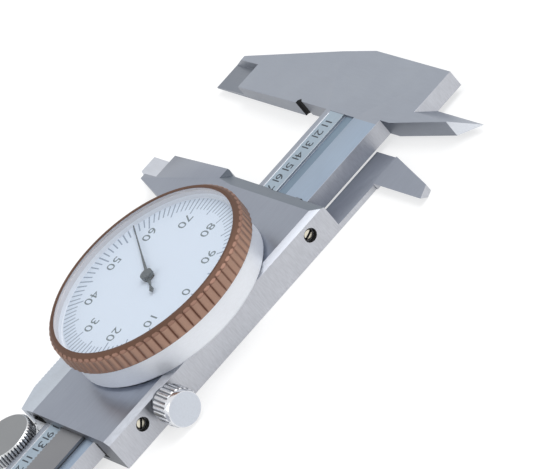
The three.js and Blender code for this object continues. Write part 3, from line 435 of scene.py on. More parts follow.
# Colour (a named one or 0 to 255), roughness, grain, streak, cloud, bump, and how metallic if not fully
METALS = {
    "front steel": ("steel", 0.42, ALONG, 0.05, 0.06, 0.05),
    "jaw steel": ("steel", 0.42, ACROSS, 0.05, 0.06, 0.05),
    "slider steel": ((146, 152, 164), 0.33, ALONG, 0.08, 0.06, 0.06),
    # Painted light: a lighter copy of the steel for the lit side faces
    "side steel": ("bright_steel", 0.38, (5200, 2600, 700), 0.1, 0.05, 0.08),
    # Painted shade: darker steel for end faces, and darker still for the slider's tail end
    "end steel": ((138, 143, 152), 0.4, (5200, 300, 2600), 0.1, 0.08, 0.08),
    # Painted highlight: pale steel for the fixed nib's end facet
    "bright end": ((222, 226, 232), 0.34, (260, 5200, 2600), 0.06, 0.05, 0.06),
    "tail end": ((116, 119, 125), 0.45, (5200, 300, 2600), 0.1, 0.08, 0.08),
    # Painted light and shade: the slider's chamfers facing +Y lighter, those facing -X darker
    "slider chamfer": ((186, 190, 198), 0.5, (900, 2600, 2600), 0.1, 0.05, 0.06),
    "jaw side chamfer": ((119, 127, 137), 0.42, (5200, 260, 5200), 0.08, 0.05, 0.06),
    # Painted shade: dark, very rough steel for the run-out facet, so that it does not glint
    "run-out steel": ((112, 119, 128), 0.8, (5200, 900, 5200), 0.06, 0.05, 0.05),
    "thumb rest": ((188, 196, 206), 0.4, (5200, 300, 5200), 0.08, 0.05, 0.08),
    # Bevelled edges: wear, and a painted highlight for their glint
    "worn edge": ((225, 230, 236), 0.3, ALONG, 0.06, 0.04, 0.05),
    "scale strip": ("strip", 0.4, ALONG, 0.05, 0.06, 0.06),
    # Painted highlight: pale lines along the strip's edges, standing for their glint
    "strip border": ((240, 245, 250), 0.3, ALONG, 0.04, 0.03, 0.03),
    "groove steel": ("groove", 0.4, ALONG, 0.08, 0.1, 0.08),
    "rack steel": ("rack", 0.42, ALONG, 0.04, 0.08, 0.06),
    # Painted light: a lighter, bluer steel for the shelf beside the rack, against the shade there
    "rail steel": ((158, 174, 192), 0.4, ALONG, 0.08, 0.08, 0.06),
    "pocket steel": ((126, 132, 142), 0.42, ACROSS, 0.06, 0.08, 0.06),
    "moving tip": ((210, 214, 222), 0.42, ACROSS, 0.05, 0.06, 0.05),
    "pale steel": ((205, 205, 202), 0.34, EVEN, 0.05, 0.05, 0.05),
    # Painted light: the bracket's steel is lightened against the slider's shadow on it
    "bracket steel": ((240, 243, 248), 0.42, (900, 3600, 3600), 0.1, 0.06, 0.12),
    "nickel": ((222, 216, 198), 0.3, (3000, 3000, 3000), 0.04, 0.04, 0.04),
    "roller steel": ((144, 146, 148), 0.42, CLOSE, 0.05, 0.05, 0.06),
    "roller grip": ((204, 206, 208), 0.32, CLOSE, 0.05, 0.05, 0.04),
    "lock steel": ((214, 216, 220), 0.3, CLOSE, 0.05, 0.05, 0.05),
    "polished cone": ((226, 228, 232), 0.14, CLOSE, 0.03, 0.03, 0.02),
    "knob end": ((204, 209, 217), 0.42, CLOSE, 0.05, 0.05, 0.05),
    "neck steel": ((120, 124, 130), 0.36, CLOSE, 0.05, 0.05, 0.05),
    # Painted shade: darker steel in the grooves of the knurls
    "groove dark": ((128, 131, 136), 0.36, CLOSE, 0.05, 0.05, 0.05),
    # Painted shadow: dark steel for the dial case's foot
    "dark steel": ((92, 94, 98), 0.4, CLOSE, 0.08, 0.05, 0.05),
    "case satin": ("case", 0.5, (1300, 1300, 5200), 0.03, 0.05, 0.05, 0.75),
    "copper": ("copper", 0.44, TURNED, 0.06, 0.1, 0.06),
    # Painted shade: darker coppers for the slope above the ribs and for the ribs' ends, which keep them from
    # glinting
    "dark copper": ((108, 83, 71), 0.6, TURNED, 0.06, 0.1, 0.05),
    "rib end copper": ((146, 115, 101), 0.55, TURNED, 0.06, 0.1, 0.05),
    # Painted shade: darker copper in the bezel's grooves
    "groove copper": ((152, 121, 107), 0.46, TURNED, 0.06, 0.1, 0.05),
    "brass": ((214, 178, 104), 0.34, EVEN, 0.06, 0.05, 0.06),
    "blued spring": ((66, 84, 120), 0.3, CLOSE, 0.08, 0.06, 0.04),
}

# Colour, roughness, speckle, bump, and how close the speckle is if not as usual
PAINTS = {
    # Painted shade: near black in the gib screws' slots
    "dark slot": ((38, 40, 42), 0.6, 0.1, 0.05),
    # Painted shade: near black for gaps, recesses, bores and the gib, where shadow falls
    "black gap": ((24, 25, 27), 0.7, 0.08, 0.03),
    "bezel wall": ((240, 244, 250), 0.45, 0.02, 0.03),
    "wall shade": ((216, 214, 218), 0.45, 0.02, 0.03),
    "dial paint": ("dial", 0.5, 0.012, 0.03),
    "scale filling": ("print", 0.6, 0.18, 0.06, 3800),
    "dial printing": ("dial_print", 0.55, 0.08, 0.02, 3800),
    "dial ticks": ("dial_ticks", 0.55, 0.08, 0.02, 3800),
    "pointer paint": ("pointer", 0.45, 0.06, 0.04),
}

_shelf = {}


def new_material(name):
    material = bpy.data.materials.new(name)
    material.use_nodes = True
    return material, material.node_tree, material.node_tree.nodes["Principled BSDF"]


def grain_of(tree, stretch, detail, roughness):
    """Noise on the piece's own coordinates, stretched so that it reads as the tool's direction."""
    place = tree.nodes.new("ShaderNodeTexCoord")
    mapping = tree.nodes.new("ShaderNodeMapping")
    mapping.inputs["Scale"].default_value = stretch
    noise = tree.nodes.new("ShaderNodeTexNoise")
    noise.inputs["Scale"].default_value = 1.0
    noise.inputs["Detail"].default_value = detail
    noise.inputs["Roughness"].default_value = roughness
    tree.links.new(place.outputs["Object"], mapping.inputs["Vector"])
    tree.links.new(mapping.outputs["Vector"], noise.inputs["Vector"])
    return noise.outputs["Fac"]


def ranged(tree, value, low=0.0, high=1.0):
    """The busy middle of a noise, spread from low to high."""
    spread = tree.nodes.new("ShaderNodeMapRange")
    spread.inputs["From Min"].default_value = 0.3
    spread.inputs["From Max"].default_value = 0.7
    spread.inputs["To Min"].default_value = low
    spread.inputs["To Max"].default_value = high
    tree.links.new(value, spread.inputs["Value"])
    return spread.outputs["Result"]


def two_tone(tree, base, swing, share):
    """A colour that goes from a little darker than base to a little lighter."""
    tone = tree.nodes.new("ShaderNodeMix")
    tone.data_type = "RGBA"
    for socket, level in ((FIRST, 1 - swing), (SECOND, 1 + swing)):
        tone.inputs[socket].default_value = (*[min(1.0, channel * level) for channel in base], 1)
    tree.links.new(share, tone.inputs[SHARE])
    return tone.outputs[MIXED]


def emboss(tree, shader, height, strength, depth):
    relief = tree.nodes.new("ShaderNodeBump")
    relief.inputs["Strength"].default_value = strength
    relief.inputs["Distance"].default_value = depth
    tree.links.new(height, relief.inputs["Height"])
    tree.links.new(relief.outputs["Normal"], shader.inputs["Normal"])


def brushed(name, base, rough, grain, streak, cloud, bump, metallic=1.0):
    """Metal with a fine directional grain, a slow cloudiness and a roughness that follows the grain."""
    material, tree, shader = new_material(name)
    fine = grain_of(tree, grain, detail=5.0, roughness=0.65)
    slow = grain_of(tree, (110, 110, 110), detail=2.0, roughness=0.5)
    tone = two_tone(tree, base, streak, ranged(tree, fine))
    cloudy = tree.nodes.new("ShaderNodeMix")
    cloudy.data_type = "RGBA"
    cloudy.blend_type = "MULTIPLY"
    cloudy.inputs[SECOND].default_value = (1 - cloud, 1 - cloud, 1 - cloud * 0.8, 1)
    tree.links.new(ranged(tree, slow), cloudy.inputs[SHARE])
    tree.links.new(tone, cloudy.inputs[FIRST])
    tree.links.new(cloudy.outputs[MIXED], shader.inputs["Base Color"])
    duller = ranged(tree, fine, low=rough - 0.05, high=rough + 0.07)
    tree.links.new(duller, shader.inputs["Roughness"])
    shader.inputs["Metallic"].default_value = metallic
    emboss(tree, shader, fine, strength=bump, depth=0.04 * MM)
    return material


def painted(name, base, rough, speckle, bump, closeness=2500):
    """Paint or printing with a faint speckle and a fine skin."""
    material, tree, shader = new_material(name)
    fine = grain_of(tree, (closeness, closeness, closeness), detail=3.0, roughness=0.5)
    tree.links.new(two_tone(tree, base, speckle, ranged(tree, fine)), shader.inputs["Base Color"])
    duller = ranged(tree, fine, low=rough - 0.04, high=rough + 0.04)
    tree.links.new(duller, shader.inputs["Roughness"])
    emboss(tree, shader, fine, strength=bump, depth=0.02 * MM)
    return material


def clear_crystal(name):
    """Thin clear crystal: a faint white gloss over what lies under it."""
    material, tree, shader = new_material(name)
    shader.inputs["Base Color"].default_value = (0.93, 0.96, 1.0, 1)
    shader.inputs["Roughness"].default_value = 0.06
    shader.inputs["IOR"].default_value = 1.49
    shader.inputs["Alpha"].default_value = 0.045
    skin = grain_of(tree, (900, 900, 900), detail=2.0, roughness=0.5)
    emboss(tree, shader, skin, strength=0.02, depth=0.02 * MM)
    material.blend_method = "BLEND"
    return material


def finish_named(name):
    """A finish from the shelf, made the first time that it is asked for."""
    if name not in _shelf and name == "clear crystal":
        _shelf[name] = clear_crystal(name)
    elif name not in _shelf:
        make, table = (brushed, METALS) if name in METALS else (painted, PAINTS)
        tint, *values = table[name]
        named = isinstance(tint, str)
        base = getattr(bpy.context.scene.caliper_colours, tint) if named else srgb(*tint)
        _shelf[name] = make(name, base, *values)
    return _shelf[name]


def paint(piece, *finishes):
    """Gives a piece its finishes: its faces take the first, a dressed copy's broken edges the second."""
    piece.data.materials.clear()
    for finish in finishes:
        piece.data.materials.append(finish_named(finish))


def zone(piece, finish, wanted, origin=Vector()):
    """Gives a finish to the faces for which wanted(middle, normal) is true.

    The middle is in millimetres from origin.
    """
    material = finish_named(finish)
    index = piece.data.materials.find(material.name)
    if index < 0:
        index = len(piece.data.materials)
        piece.data.materials.append(material)
    for face in piece.data.polygons:
        if wanted((face.center - origin) / MM, face.normal):
            face.material_index = index


# The pieces


class CALIPER_OT_beam(bpy.types.Operator):
    """Beam with the fixed jaw and nib, its edges broken and each face coloured by where it lies and which
    way it faces, with painted light on lit faces and painted shade on end faces and the notch
    """

    bl_idname = "caliper.beam"
    bl_label = "Beam and fixed jaw"

    def execute(self, context):
        beam = dressed_copy("beam", context.scene.caliper_sizes.edge_bevel)
        origin = on_beam(0, 0)
        front, groove_floor, pocket_floor = beam_high.z / MM, 4.2, 2.2
        strip, groove, rail, rail_start = (-6.8, -2.29), (-2.3, 1), (0.8, 8), -0.4
        notch_along, notch_across = (-1.1, 0.1), (-17.7, -16)
        jaw_root, pocket_edge, step_edge = 8.1, -30, 24.8

        def on_front(face):
            return face.normal.z > FULLY and face.calc_center_median().z > (front - 1.5) * MM

        split(beam, on_front, on_beam(rail_start, 0), (1, 0, 0))
        split(beam, on_front, on_beam(0, rail[0]), (0, 1, 0))
        # The broken edges take a pale steel for wear and as a painted highlight.
        paint(beam, "front steel", "worn edge")
        for finish, wanted in (
            # Side faces take a lighter steel as painted light.
            ("side steel", lambda c, n: abs(n.y) > MAINLY),
            # End faces take a darker steel as painted shade.
            ("end steel", lambda c, n: abs(n.x) > MAINLY),
            ("jaw steel", lambda c, n: n.z > HALF and abs(c.y) > jaw_root),
            ("scale strip", lambda c, n: n.z > FULLY and between(c.y, strip) and c.z < front - 0.1),
            ("groove steel", lambda c, n: n.z > FULLY and between(c.y, groove) and c.z < groove_floor),
            ("pocket steel", lambda c, n: n.z > HALF and c.y < pocket_edge and c.z < pocket_floor),
            # The relief notch's walls are painted near black as painted shade.
            ("black gap", lambda c, n: (
                abs(n.z) < MAINLY and between(c.x, notch_along) and between(c.y, notch_across)
            )),
            # The shelf beside the rack is painted lighter as painted light against the shade there.
            ("rail steel", lambda c, n: n.z > FULLY and c.x > rail_start and between(c.y, rail)),
            # The fixed nib's end facet is painted pale as painted highlight.
            ("bright end", lambda c, n: n.y > PARTLY and n.z < FULLY and c.y > step_edge),
        ):
            zone(beam, finish, wanted, origin)
        mount(beam, "beam_body", "beam", "satin_steel", "beam")
        return {"FINISHED"}


class CALIPER_OT_scale(bpy.types.Operator):
    """Marks and numbers of the beam's scale, filled with black"""

    bl_idname = "caliper.scale"
    bl_label = "Beam scale"

    def execute(self, context):
        sizes = context.scene.caliper_sizes
        tenths, per_inch = 60, 10
        spacing = sizes.mark_spacing / MM
        marks_across, print_top, glint_top = -4.85, 4.286, 4.3

        mark = bar(sizes.mark_width, sizes.mark_length, on_beam(spacing, marks_across, print_top))
        in_a_row(mark, sizes.mark_spacing, tenths)
        paint(mark, "scale filling")
        mount(mark, "scale_marks", "beam", "pointer_paint")

        # Two pale lines along the scale strip's edges are a painted highlight, standing for the glint on
        # those edges.
        run = beam_high.x - JAW_FACE - 0.4 * MM
        middle = run / 2 / MM
        glint_lines = join([
            bar(run, wide * MM, on_beam(middle, across, glint_top), round_share=0.05)
            for across, wide in ((-6.62, 0.2), (-2.4, 0.1))
        ])
        paint(glint_lines, "strip border")
        mount(glint_lines, "scale_borders", "beam", "steel")

        digits = []
        for tenth in range(1, tenths + 1):
            inch, rest = divmod(tenth, per_inch)
            if rest:
                text, height, before_mark, across = str(rest), sizes.digit_height, 0.9, -4.65
            else:
                text, height, before_mark, across = str(inch), sizes.inch_digit_height, 1.25, -4.25
            place = on_beam(spacing * tenth - before_mark, across, print_top)
            digits.append(lettering(text, height, place))
        numbers = join(digits)
        paint(numbers, "scale filling")
        mount(numbers, "scale_numbers", "beam", "pointer_paint")
        return {"FINISHED"}


class CALIPER_OT_slider(bpy.types.Operator):
    """Slider with the moving jaw and nib, with a finely serrated thumb rest"""

    bl_idname = "caliper.slider"
    bl_label = "Slider and moving jaw"

    def execute(self, context):
        slider = dressed_copy("slider_frame", context.scene.caliper_sizes.edge_bevel)
        origin = on_slider(0, 0)
        front = slider_high.z / MM
        chamfer_foot = front - 1.2
        tail = (slider_high.x - SLIDER_EDGE) / MM - 0.5
        rest_start, rest_edge = 32.9, -10.7
        rest_side = rest_edge + 0.1
        tip_edge, tip_floor, run_out = -36, 2.2, 4
        bracket_recess = ((tail - 8.5, tail), (-12.5, -8), (0.4, 5.6))
        channel, channel_depth = (-9, 9.4), (0.2, 5.2)
        bore = 1.5

        def on_tail(face):
            return face.normal.x > MAINLY and face.calc_center_median().x > origin.x + tail * MM

        def on_chamfer(place, normal):
            return between(normal.z, (PARTLY, SQUARELY)) and place.z > chamfer_foot

        split(slider, on_tail, on_slider(0, rest_edge), (0, 1, 0))
        # The broken edges take a pale steel for wear and as a painted highlight.
        paint(slider, "slider steel", "worn edge")
        for finish, wanted in (
            # Side faces take a lighter steel as painted light.
            ("side steel", lambda c, n: abs(n.y) > MAINLY),
            # End faces take a darker steel as painted shade.
            ("end steel", lambda c, n: abs(n.x) > MAINLY),
            # Chamfers facing +Y are painted lighter and those facing -X darker, as painted light and shade.
            ("slider chamfer", lambda c, n: on_chamfer(c, n) and n.y > SLIGHTLY and c.y > 0),
            ("jaw side chamfer", lambda c, n: on_chamfer(c, n) and n.x < -SLIGHTLY),
            ("thumb rest", lambda c, n: (
                n.z > PARTLY and n.y < 0 and c.x > rest_start and c.y < rest_side
            )),
            ("moving tip", lambda c, n: n.z > HALF and c.y < tip_edge and c.z < tip_floor),
            # The run-out facet is painted dark as painted shade.
            ("run-out steel", lambda c, n: (
                between(n.z, (PARTLY, SQUARELY)) and n.y > SLIGHTLY and c.y < 0 and c.x < run_out
            )),
            # The slider's tail end is painted darker as painted shade.
            ("tail end", lambda c, n: n.x > MAINLY and c.x > tail),
            # The end face below the thumb rest takes the thumb rest's pale colour as painted light.
            ("thumb rest", lambda c, n: n.x > PARTLY and c.x > tail and c.y < rest_side),
            # The bracket's recess and the gib's channel are painted near black as painted shade.
            ("black gap", lambda c, n: all(map(between, c, bracket_recess))),
            ("black gap", lambda c, n: (
                n.z < SLIGHTLY and abs(n.x) < FULLY
                and between(c.y, channel) and between(c.z, channel_depth)
            )),
        ):
            zone(slider, finish, wanted, origin)
        # The screw bores are painted near black as painted shade.
        for node in ("gib_screw_1", "gib_screw_2", "lock_screw"):
            low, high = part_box(node)
            axis = Vector(((low.x + high.x) / 2, CENTRELINE, (low.z + high.z) / 2))

            def in_bore(place, normal):
                beyond = place.y > channel[1] and math.hypot(place.x, place.z) < bore
                return beyond and abs(normal.y) < FULLY

            zone(slider, "black gap", in_bore, axis)

        # The thumb rest's serrations: square teeth stood on edge
        first_tooth = on_slider(33.2, -17.42, 4.2)
        tooth_radius, tooth_run, tooth_pitch, teeth = 0.36 * MM, 6 * MM, 0.75 * MM, 28
        deselect()
        bpy.ops.mesh.primitive_cylinder_add(vertices=4, radius=tooth_radius, depth=tooth_run)
        tooth = bpy.context.object
        settle(tooth, first_tooth)
        in_a_row(tooth, tooth_pitch, teeth)
        cut_with(slider, tooth)
        smooth(slider, angle=24)
        mount(slider, "slider_body", "slider", "satin_steel", "slider_frame")
        return {"FINISHED"}


class CALIPER_OT_screws(bpy.types.Operator):
    """Gib strip and its screws with domed, slotted heads; the strip and the slots are painted near black as
    painted shade, as are the screws' bores in the slider
    """

    bl_idname = "caliper.screws"
    bl_label = "Gib and gib screws"

    def execute(self, context):
        slot = context.scene.caliper_sizes.slot_width
        slot_depth, slot_run = 0.45 * MM, 4 * MM
        for number, slot_turn in ((1, -72.6), (2, -41.6)):
            node = f"gib_screw_{number}"
            foot, tall, radius = round_size(*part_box(node), axis=1)
            dome = [(0.86, 0.42), (0.84, 0.22), (0.74, 0.1), (0.5, 0.03), (0.2, 0)]
            steps = [(radius * 0.8, 0), (radius, 0.25), (radius, tall - 0.5)]
            steps += [(radius * share, tall - drop) for share, drop in dome]
            screw = turned(steps, sides=32)
            deselect()
            bpy.ops.mesh.primitive_cube_add(size=1)
            blade = bpy.context.object
            blade.scale = (slot, slot_run, 2 * slot_depth)
            settle(blade, (0, 0, tall * MM), (0, 0, math.radians(slot_turn)))
            # The slot's faces, cut by the blade, are painted near black as painted shade.
            for piece in (screw, blade):
                paint(piece, "nickel", "dark slot")
            zone(blade, "dark slot", lambda c, n: True)
            cut_with(screw, blade)
            settle(screw, foot, (-math.pi / 2, 0, 0))
            smooth(screw)
            mount(screw, f"gib_screw_head_{number}", "slider", "pale_steel", node)

        # The strip's end is drawn out towards the slider's end, and the strip is painted near black as
        # painted shade, so that it shows there as a dark slot.
        end_zone, reach = 2 * MM, 1.4 * MM
        gib = dressed_copy("gib", bevel=0.06 * MM)
        edit(gib)
        pick(gib, lambda vertex: vertex.co.x > slider_high.x - end_zone)
        bpy.ops.transform.translate(value=(reach, 0, 0))
        leave()
        paint(gib, "black gap", "black gap")
        mount(gib, "gib_strip", "slider", "brass", "gib")
        return {"FINISHED"}


class CALIPER_OT_lock_screw(bpy.types.Operator):
    """Knurled lock screw"""

    bl_idname = "caliper.lock_screw"
    bl_label = "Lock screw"

    def execute(self, context):
        grooves = context.scene.caliper_sizes.lock_grooves
        foot, full, _ = round_size(*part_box("lock_screw"), axis=1)
        head = full - 4.9
        collar = head - 1.6
        grip_end = full - 1.05
        shank, neck, grip, groove_floor = 1.0, 2.5, 3.35, 3.22
        steps = [
            (0.85, 0), (shank, 0.2), (shank, collar), (neck, collar), (neck, head - 0.02), (2.9, head),
            (3.15, head + 0.02), (grip, head + 0.25), (grip, full - 1.2), (3.28, full - 1.08),
            (3.17, full - 1.0), (3.16, full - 0.9), (3.1, full - 0.3), (3.02, full - 0.06), (2.92, full),
        ]
        shares = [1, 0.6, 0, 0, 0, 0.6]
        knob = turned(steps, grooves * len(shares))
        cut_grooves(knob, grooves, depth=0.19 * MM, low=head + 0.02, high=grip_end, shares=shares)
        paint(knob, "lock steel")
        zone(knob, "neck steel", lambda c, n: c.z < head + 0.01)
        zone(knob, "knob end", lambda c, n: n.z > SQUARELY and c.z > full - 0.1)
        # The grooves are painted darker as painted shade.
        zone(knob, "groove dark", lambda c, n: head < c.z < grip_end and off_axis(c) < groove_floor)
        zone(knob, "polished cone", lambda c, n: n.z < SQUARELY and c.z > grip_end + 0.01)
        settle(knob, foot, (-math.pi / 2, 0, 0))
        smooth(knob)
        mount(knob, "lock_knob", "lock_screw", "pale_steel", "lock_screw")
        return {"FINISHED"}


class CALIPER_OT_roller(bpy.types.Operator):
    """Knurled thumb roller, its pin and its bracket"""

    bl_idname = "caliper.roller"
    bl_label = "Thumb roller"

    def execute(self, context):
        grooves = context.scene.caliper_sizes.roller_grooves
        foot, tall, radius = round_size(*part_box("thumb_roller"), axis=2)
        rim, hub, cap, bore = 1.1, 2.4, 0.6, 1.15
        steps = [
            (bore, tall - cap), (bore, 0), (hub, 0), (hub, rim), (radius - 0.35, rim),
            (radius - 0.2, rim + 0.12), (radius, rim + 0.35), (radius, tall - 0.4),
            (radius - 0.1, tall - 0.27), (radius - 0.24, tall - 0.12), (radius - 0.4, tall),
            (radius * 0.4, tall),
        ]
        shares = [1, 0.5, 0, 0, 0, 0.5]
        wheel = turned(steps, grooves * len(shares))
        cut_grooves(wheel, grooves, depth=0.26 * MM, low=rim + 0.1, high=tall - 0.1, shares=shares)
        paint(wheel, "roller steel")
        zone(wheel, "roller grip", lambda c, n: off_axis(c) > radius - 0.42 and n.z < SQUARELY)
        # The grooves are painted darker as painted shade.
        zone(wheel, "groove dark", lambda c, n: hub < off_axis(c) < radius - 0.11 and abs(n.z) < HALF)
        settle(wheel, foot)
        smooth(wheel)
        mount(wheel, "roller_wheel", "thumb_roller", "pale_steel", "thumb_roller")

        foot, tall, radius = round_size(*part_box("roller_pin"), axis=2)
        steps = [(radius, 0), (radius, tall - 0.2), (radius * 0.85, tall - 0.08), (radius * 0.5, tall)]
        pin = turned(steps, sides=36)
        paint(pin, "pale steel")
        settle(pin, foot)
        smooth(pin)
        mount(pin, "roller_axle", "slider", "pale_steel", "roller_pin")

        # The part of the bracket that lies in the slider's recess is painted near black as painted shade.
        mouth = Vector((slider_high.x - 0.05 * MM, 0, 0))
        bracket = dressed_copy("roller_bracket", bevel=0.1 * MM)
        split(bracket, lambda face: True, mouth, (1, 0, 0))
        # The bracket takes the lightened steel as painted light against the shadow on it.
        paint(bracket, "bracket steel", "worn edge")
        zone(bracket, "black gap", lambda c, n: c.x < -0.01, mouth)
        mount(bracket, "bracket_plate", "slider", "satin_steel", "roller_bracket")
        return {"FINISHED"}


class CALIPER_OT_case(bpy.types.Operator):
    """Satin dial case"""

    bl_idname = "caliper.case"
    bl_label = "Dial case"

    def execute(self, context):
        case = dressed_copy("dial_case", bevel=0.06 * MM, shortest=0.4)
        rim_radius = 17.9
        foot = DIAL_CENTRE + Vector((0, 0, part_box("dial_case")[0].z))
        paint(case, "case satin", "case satin")
        # The case's foot is painted dark as a painted shadow line where it meets the slider.
        zone(case, "dark steel", lambda c, n: c.z < 0.1 and off_axis(c) > rim_radius, foot)
        mount(case, "case_body", "slider", "satin_case", "dial_case")
        return {"FINISHED"}


class CALIPER_OT_bezel(bpy.types.Operator):
    """Grooved bezel with its pale inner wall, and the crystal in it"""

    bl_idname = "caliper.bezel"
    bl_label = "Bezel and crystal"

    def execute(self, context):
        sizes = context.scene.caliper_sizes
        base = bezel_low.z
        tall = (bezel_high.z - base) / MM
        radius = (bezel_high.x - bezel_low.x) / 2 / MM
        dial_seat = (dial_low.z - base) / MM
        dial_radius = (dial_high.x - dial_low.x) / 2 / MM
        glass_low, glass_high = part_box("crystal")
        glass_seat = (glass_low.z - base) / MM
        glass_radius = (glass_high.x - glass_low.x) / 2 / MM

        # Spigot, grooved wall and slope outside, then the crystal's seat, pale wall and dial's seat
        spigot, wall = 17.6, glass_radius - 0.15
        slope_width, slope_rise = 0.85, 0.8
        straight = tall - slope_rise
        lip, dial_ledge, groove_root = glass_radius - 0.2, spigot - 0.9, 18.8
        steps = [(spigot, 0), (radius - 0.2, 0), (radius, 0.2), (radius, 0.9), (radius, straight - 0.15)]
        steps += [(radius, straight - 0.06)]
        for share in (0.1, 0.2, 0.3, 0.4, 0.5, 0.6, 0.68, 0.8, 1.0):
            steps.append((radius - slope_width * share, straight + slope_rise * share))
        steps += [
            (glass_radius - 0.16, tall), (lip, tall - 0.04), (lip, tall - 0.13),
            (glass_radius + 0.04, tall - 0.14), (glass_radius + 0.04, glass_seat + 0.1),
            (wall, glass_seat), (wall, dial_seat + 0.85), (wall, dial_seat + 0.5),
            (wall, dial_seat + 0.02), (dial_radius - 0.02, dial_seat + 0.01), (dial_ledge, dial_seat - 0.02),
            (dial_ledge, dial_seat - 0.29), (spigot, dial_seat - 0.3),
        ]
        shares = [1, 0.6, 0.32, 0.13, 0.03, 0, 0, 0.03, 0.13, 0.32, 0.6]
        grooves, depth, rib_end = sizes.bezel_grooves, sizes.bezel_groove_depth, 0.44
        ring = turned(steps, grooves * len(shares), closed=True)
        cut_grooves(ring, grooves, depth, low=0.1, high=tall - 0.1, shares=shares)

        def over_rib(place):
            """How far up the slope a rib's rounded end reaches under the slope's painted shade: most at its
            crown, none at a groove.
            """
            phase = math.atan2(place.y, place.x) / TURN * grooves % 1
            return rib_end * math.sqrt(max(0.0, 1 - (2 * phase - 1) ** 2))

        def on_slope(place, above):
            return place.z > straight + above and off_axis(place) > glass_radius - 0.3

        def inside(place, above):
            return off_axis(place) < glass_radius + 0.06 and dial_seat + above < place.z < tall - 0.34

        paint(ring, "copper")
        # The grooves are painted darker copper as painted shade.
        zone(ring, "groove copper", lambda c, n: (
            c.z < tall - 0.3 and groove_root < off_axis(c) < radius - 0.2
        ))
        # The slope and the ribs' ends are painted darker copper as painted shade, the ribs' crowns reaching
        # furthest up.
        zone(ring, "rib end copper", lambda c, n: on_slope(c, 0))
        zone(ring, "dark copper", lambda c, n: on_slope(c, over_rib(c)))
        zone(ring, "bezel wall", lambda c, n: inside(c, -0.1))
        zone(ring, "wall shade", lambda c, n: inside(c, 0.8))
        settle(ring, (DIAL_CENTRE.x, DIAL_CENTRE.y, base), (0, 0, GROOVE_TURN))
        smooth(ring, angle=26)
        mount(ring, "bezel_ring", "bezel", "copper", "bezel")

        tall = (glass_high.z - glass_low.z) / MM
        steps = [
            (glass_radius - 0.08, 0), (glass_radius, 0.08), (glass_radius, tall - 0.3),
            (glass_radius - 0.1, tall - 0.14), (glass_radius - 0.5, tall - 0.06),
            (glass_radius - 4, tall - 0.03), (glass_radius * 0.3, tall),
        ]
        glass = turned(steps, sides=160)
        paint(glass, "clear crystal")
        settle(glass, (DIAL_CENTRE.x, DIAL_CENTRE.y, glass_low.z))
        smooth(glass)
        mount(glass, "crystal_glass", "bezel", "crystal", "crystal")
        return {"FINISHED"}


class CALIPER_OT_dial(bpy.types.Operator):
    """Dial printing: a hundred ticks and ten numbers"""

    bl_idname = "caliper.dial"
    bl_label = "Dial face"

    def execute(self, context):
        sizes = context.scene.caliper_sizes
        top = dial_high.z + 0.006 * MM
        tens, ticks_per_ten, half_ten = 10, 10, 5
        runs = {0: 3.4, half_ten: 3.2}

        ticks = []
        for step in range(ticks_per_ten):
            run = runs.get(step, 2.4) * MM
            width = sizes.tick_width * (1.1 if step in runs else 1)
            middle = sizes.tick_radius - run / 2
            turn = -TURN * step / (tens * ticks_per_ten) - DIAL_TURN
            place = DIAL_CENTRE + Vector((-math.sin(turn) * middle, math.cos(turn) * middle, top))
            ticks.append(bar(width, run, place, turn))
        scale = join(ticks)
        edit(scale)
        pick_all()
        spread = TURN * (tens - 1) / tens
        bpy.ops.mesh.spin(
            steps=tens - 1, dupli=True, angle=spread, center=DIAL_CENTRE, axis=(0, 0, 1)
        )
        face_outward()
        paint(scale, "dial ticks")
        mount(scale, "dial_ticks", "bezel", "pointer_paint")

        digits = []
        for ten in range(tens):
            turn = TURN * ten / tens + DIAL_TURN
            place = DIAL_CENTRE + Vector((math.sin(turn), math.cos(turn), 0)) * sizes.dial_digit_radius
            place.z = top
            digits.append(lettering(str(ten * ticks_per_ten), sizes.dial_digit_height, place))
        numbers = join(digits)
        paint(numbers, "dial printing")
        mount(numbers, "dial_numbers", "bezel", "pointer_paint")
        return {"FINISHED"}


class CALIPER_OT_pointer(bpy.types.Operator):
    """Pointer with its turned hub, slim stem and diamond tail"""

    bl_idname = "caliper.pointer"
    bl_label = "Pointer"

    def execute(self, context):
        hand = dressed_copy("pointer", bevel=0.03 * MM, shortest=0.2)
        paint(hand, "pointer paint", "pointer paint")
        mount(hand, "pointer_hand", "pointer_arbor", "pointer_paint", "pointer")
        return {"FINISHED"}


class CALIPER_OT_fittings(bpy.types.Operator):
    """Finishes of the rack, end stop, depth rod, screws and the movement inside the case"""

    bl_idname = "caliper.fittings"
    bl_label = "Fittings and movement"

    def execute(self, context):
        fittings = {
            "rack steel": ["rack"],
            # The end stop takes the bracket's lightened steel, painted light.
            "bracket steel": ["end_stop"],
            # The depth rod takes the side faces' lighter steel, painted light.
            "side steel": ["depth_rod"],
            "dial paint": ["dial_face"],
            "blued spring": ["bezel_spring", "hairspring"],
            "brass": [
                "movement_base", "movement_bridge", "bridge_pillar",
                "drive_gear", "takeup_gear", "spring_stud",
            ],
            "pale steel": [
                "rack_screw", "end_stop_screw", "depth_rod_screw", "bracket_screw", "case_screw",
                "base_screw", "bridge_screw", "rack_pinion", "takeup_arbor", "centre_arbor",
            ],
        }
        for node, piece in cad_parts.items():
            kind = node.rstrip("_0123456789")
            for finish, kinds in fittings.items():
                if kind in kinds:
                    material = finish_named(finish)
                    if not piece.material_slots:
                        piece.data.materials.append(material)
                    for slot in piece.material_slots:
                        slot.material = material
        return {"FINISHED"}


def seen(tree):
    """1 for what the camera sees straight, in a reflection or through the crystal, otherwise 0."""
    rays = tree.nodes.new("ShaderNodeLightPath")
    total = rays.outputs["Is Camera Ray"]
    for kind in ("Is Glossy Ray", "Is Transmission Ray"):
        both = tree.nodes.new("ShaderNodeMath")
        both.operation = "ADD"
        both.use_clamp = True
        tree.links.new(total, both.inputs[0])
        tree.links.new(rays.outputs[kind], both.inputs[1])
        total = both.outputs[0]
    return total


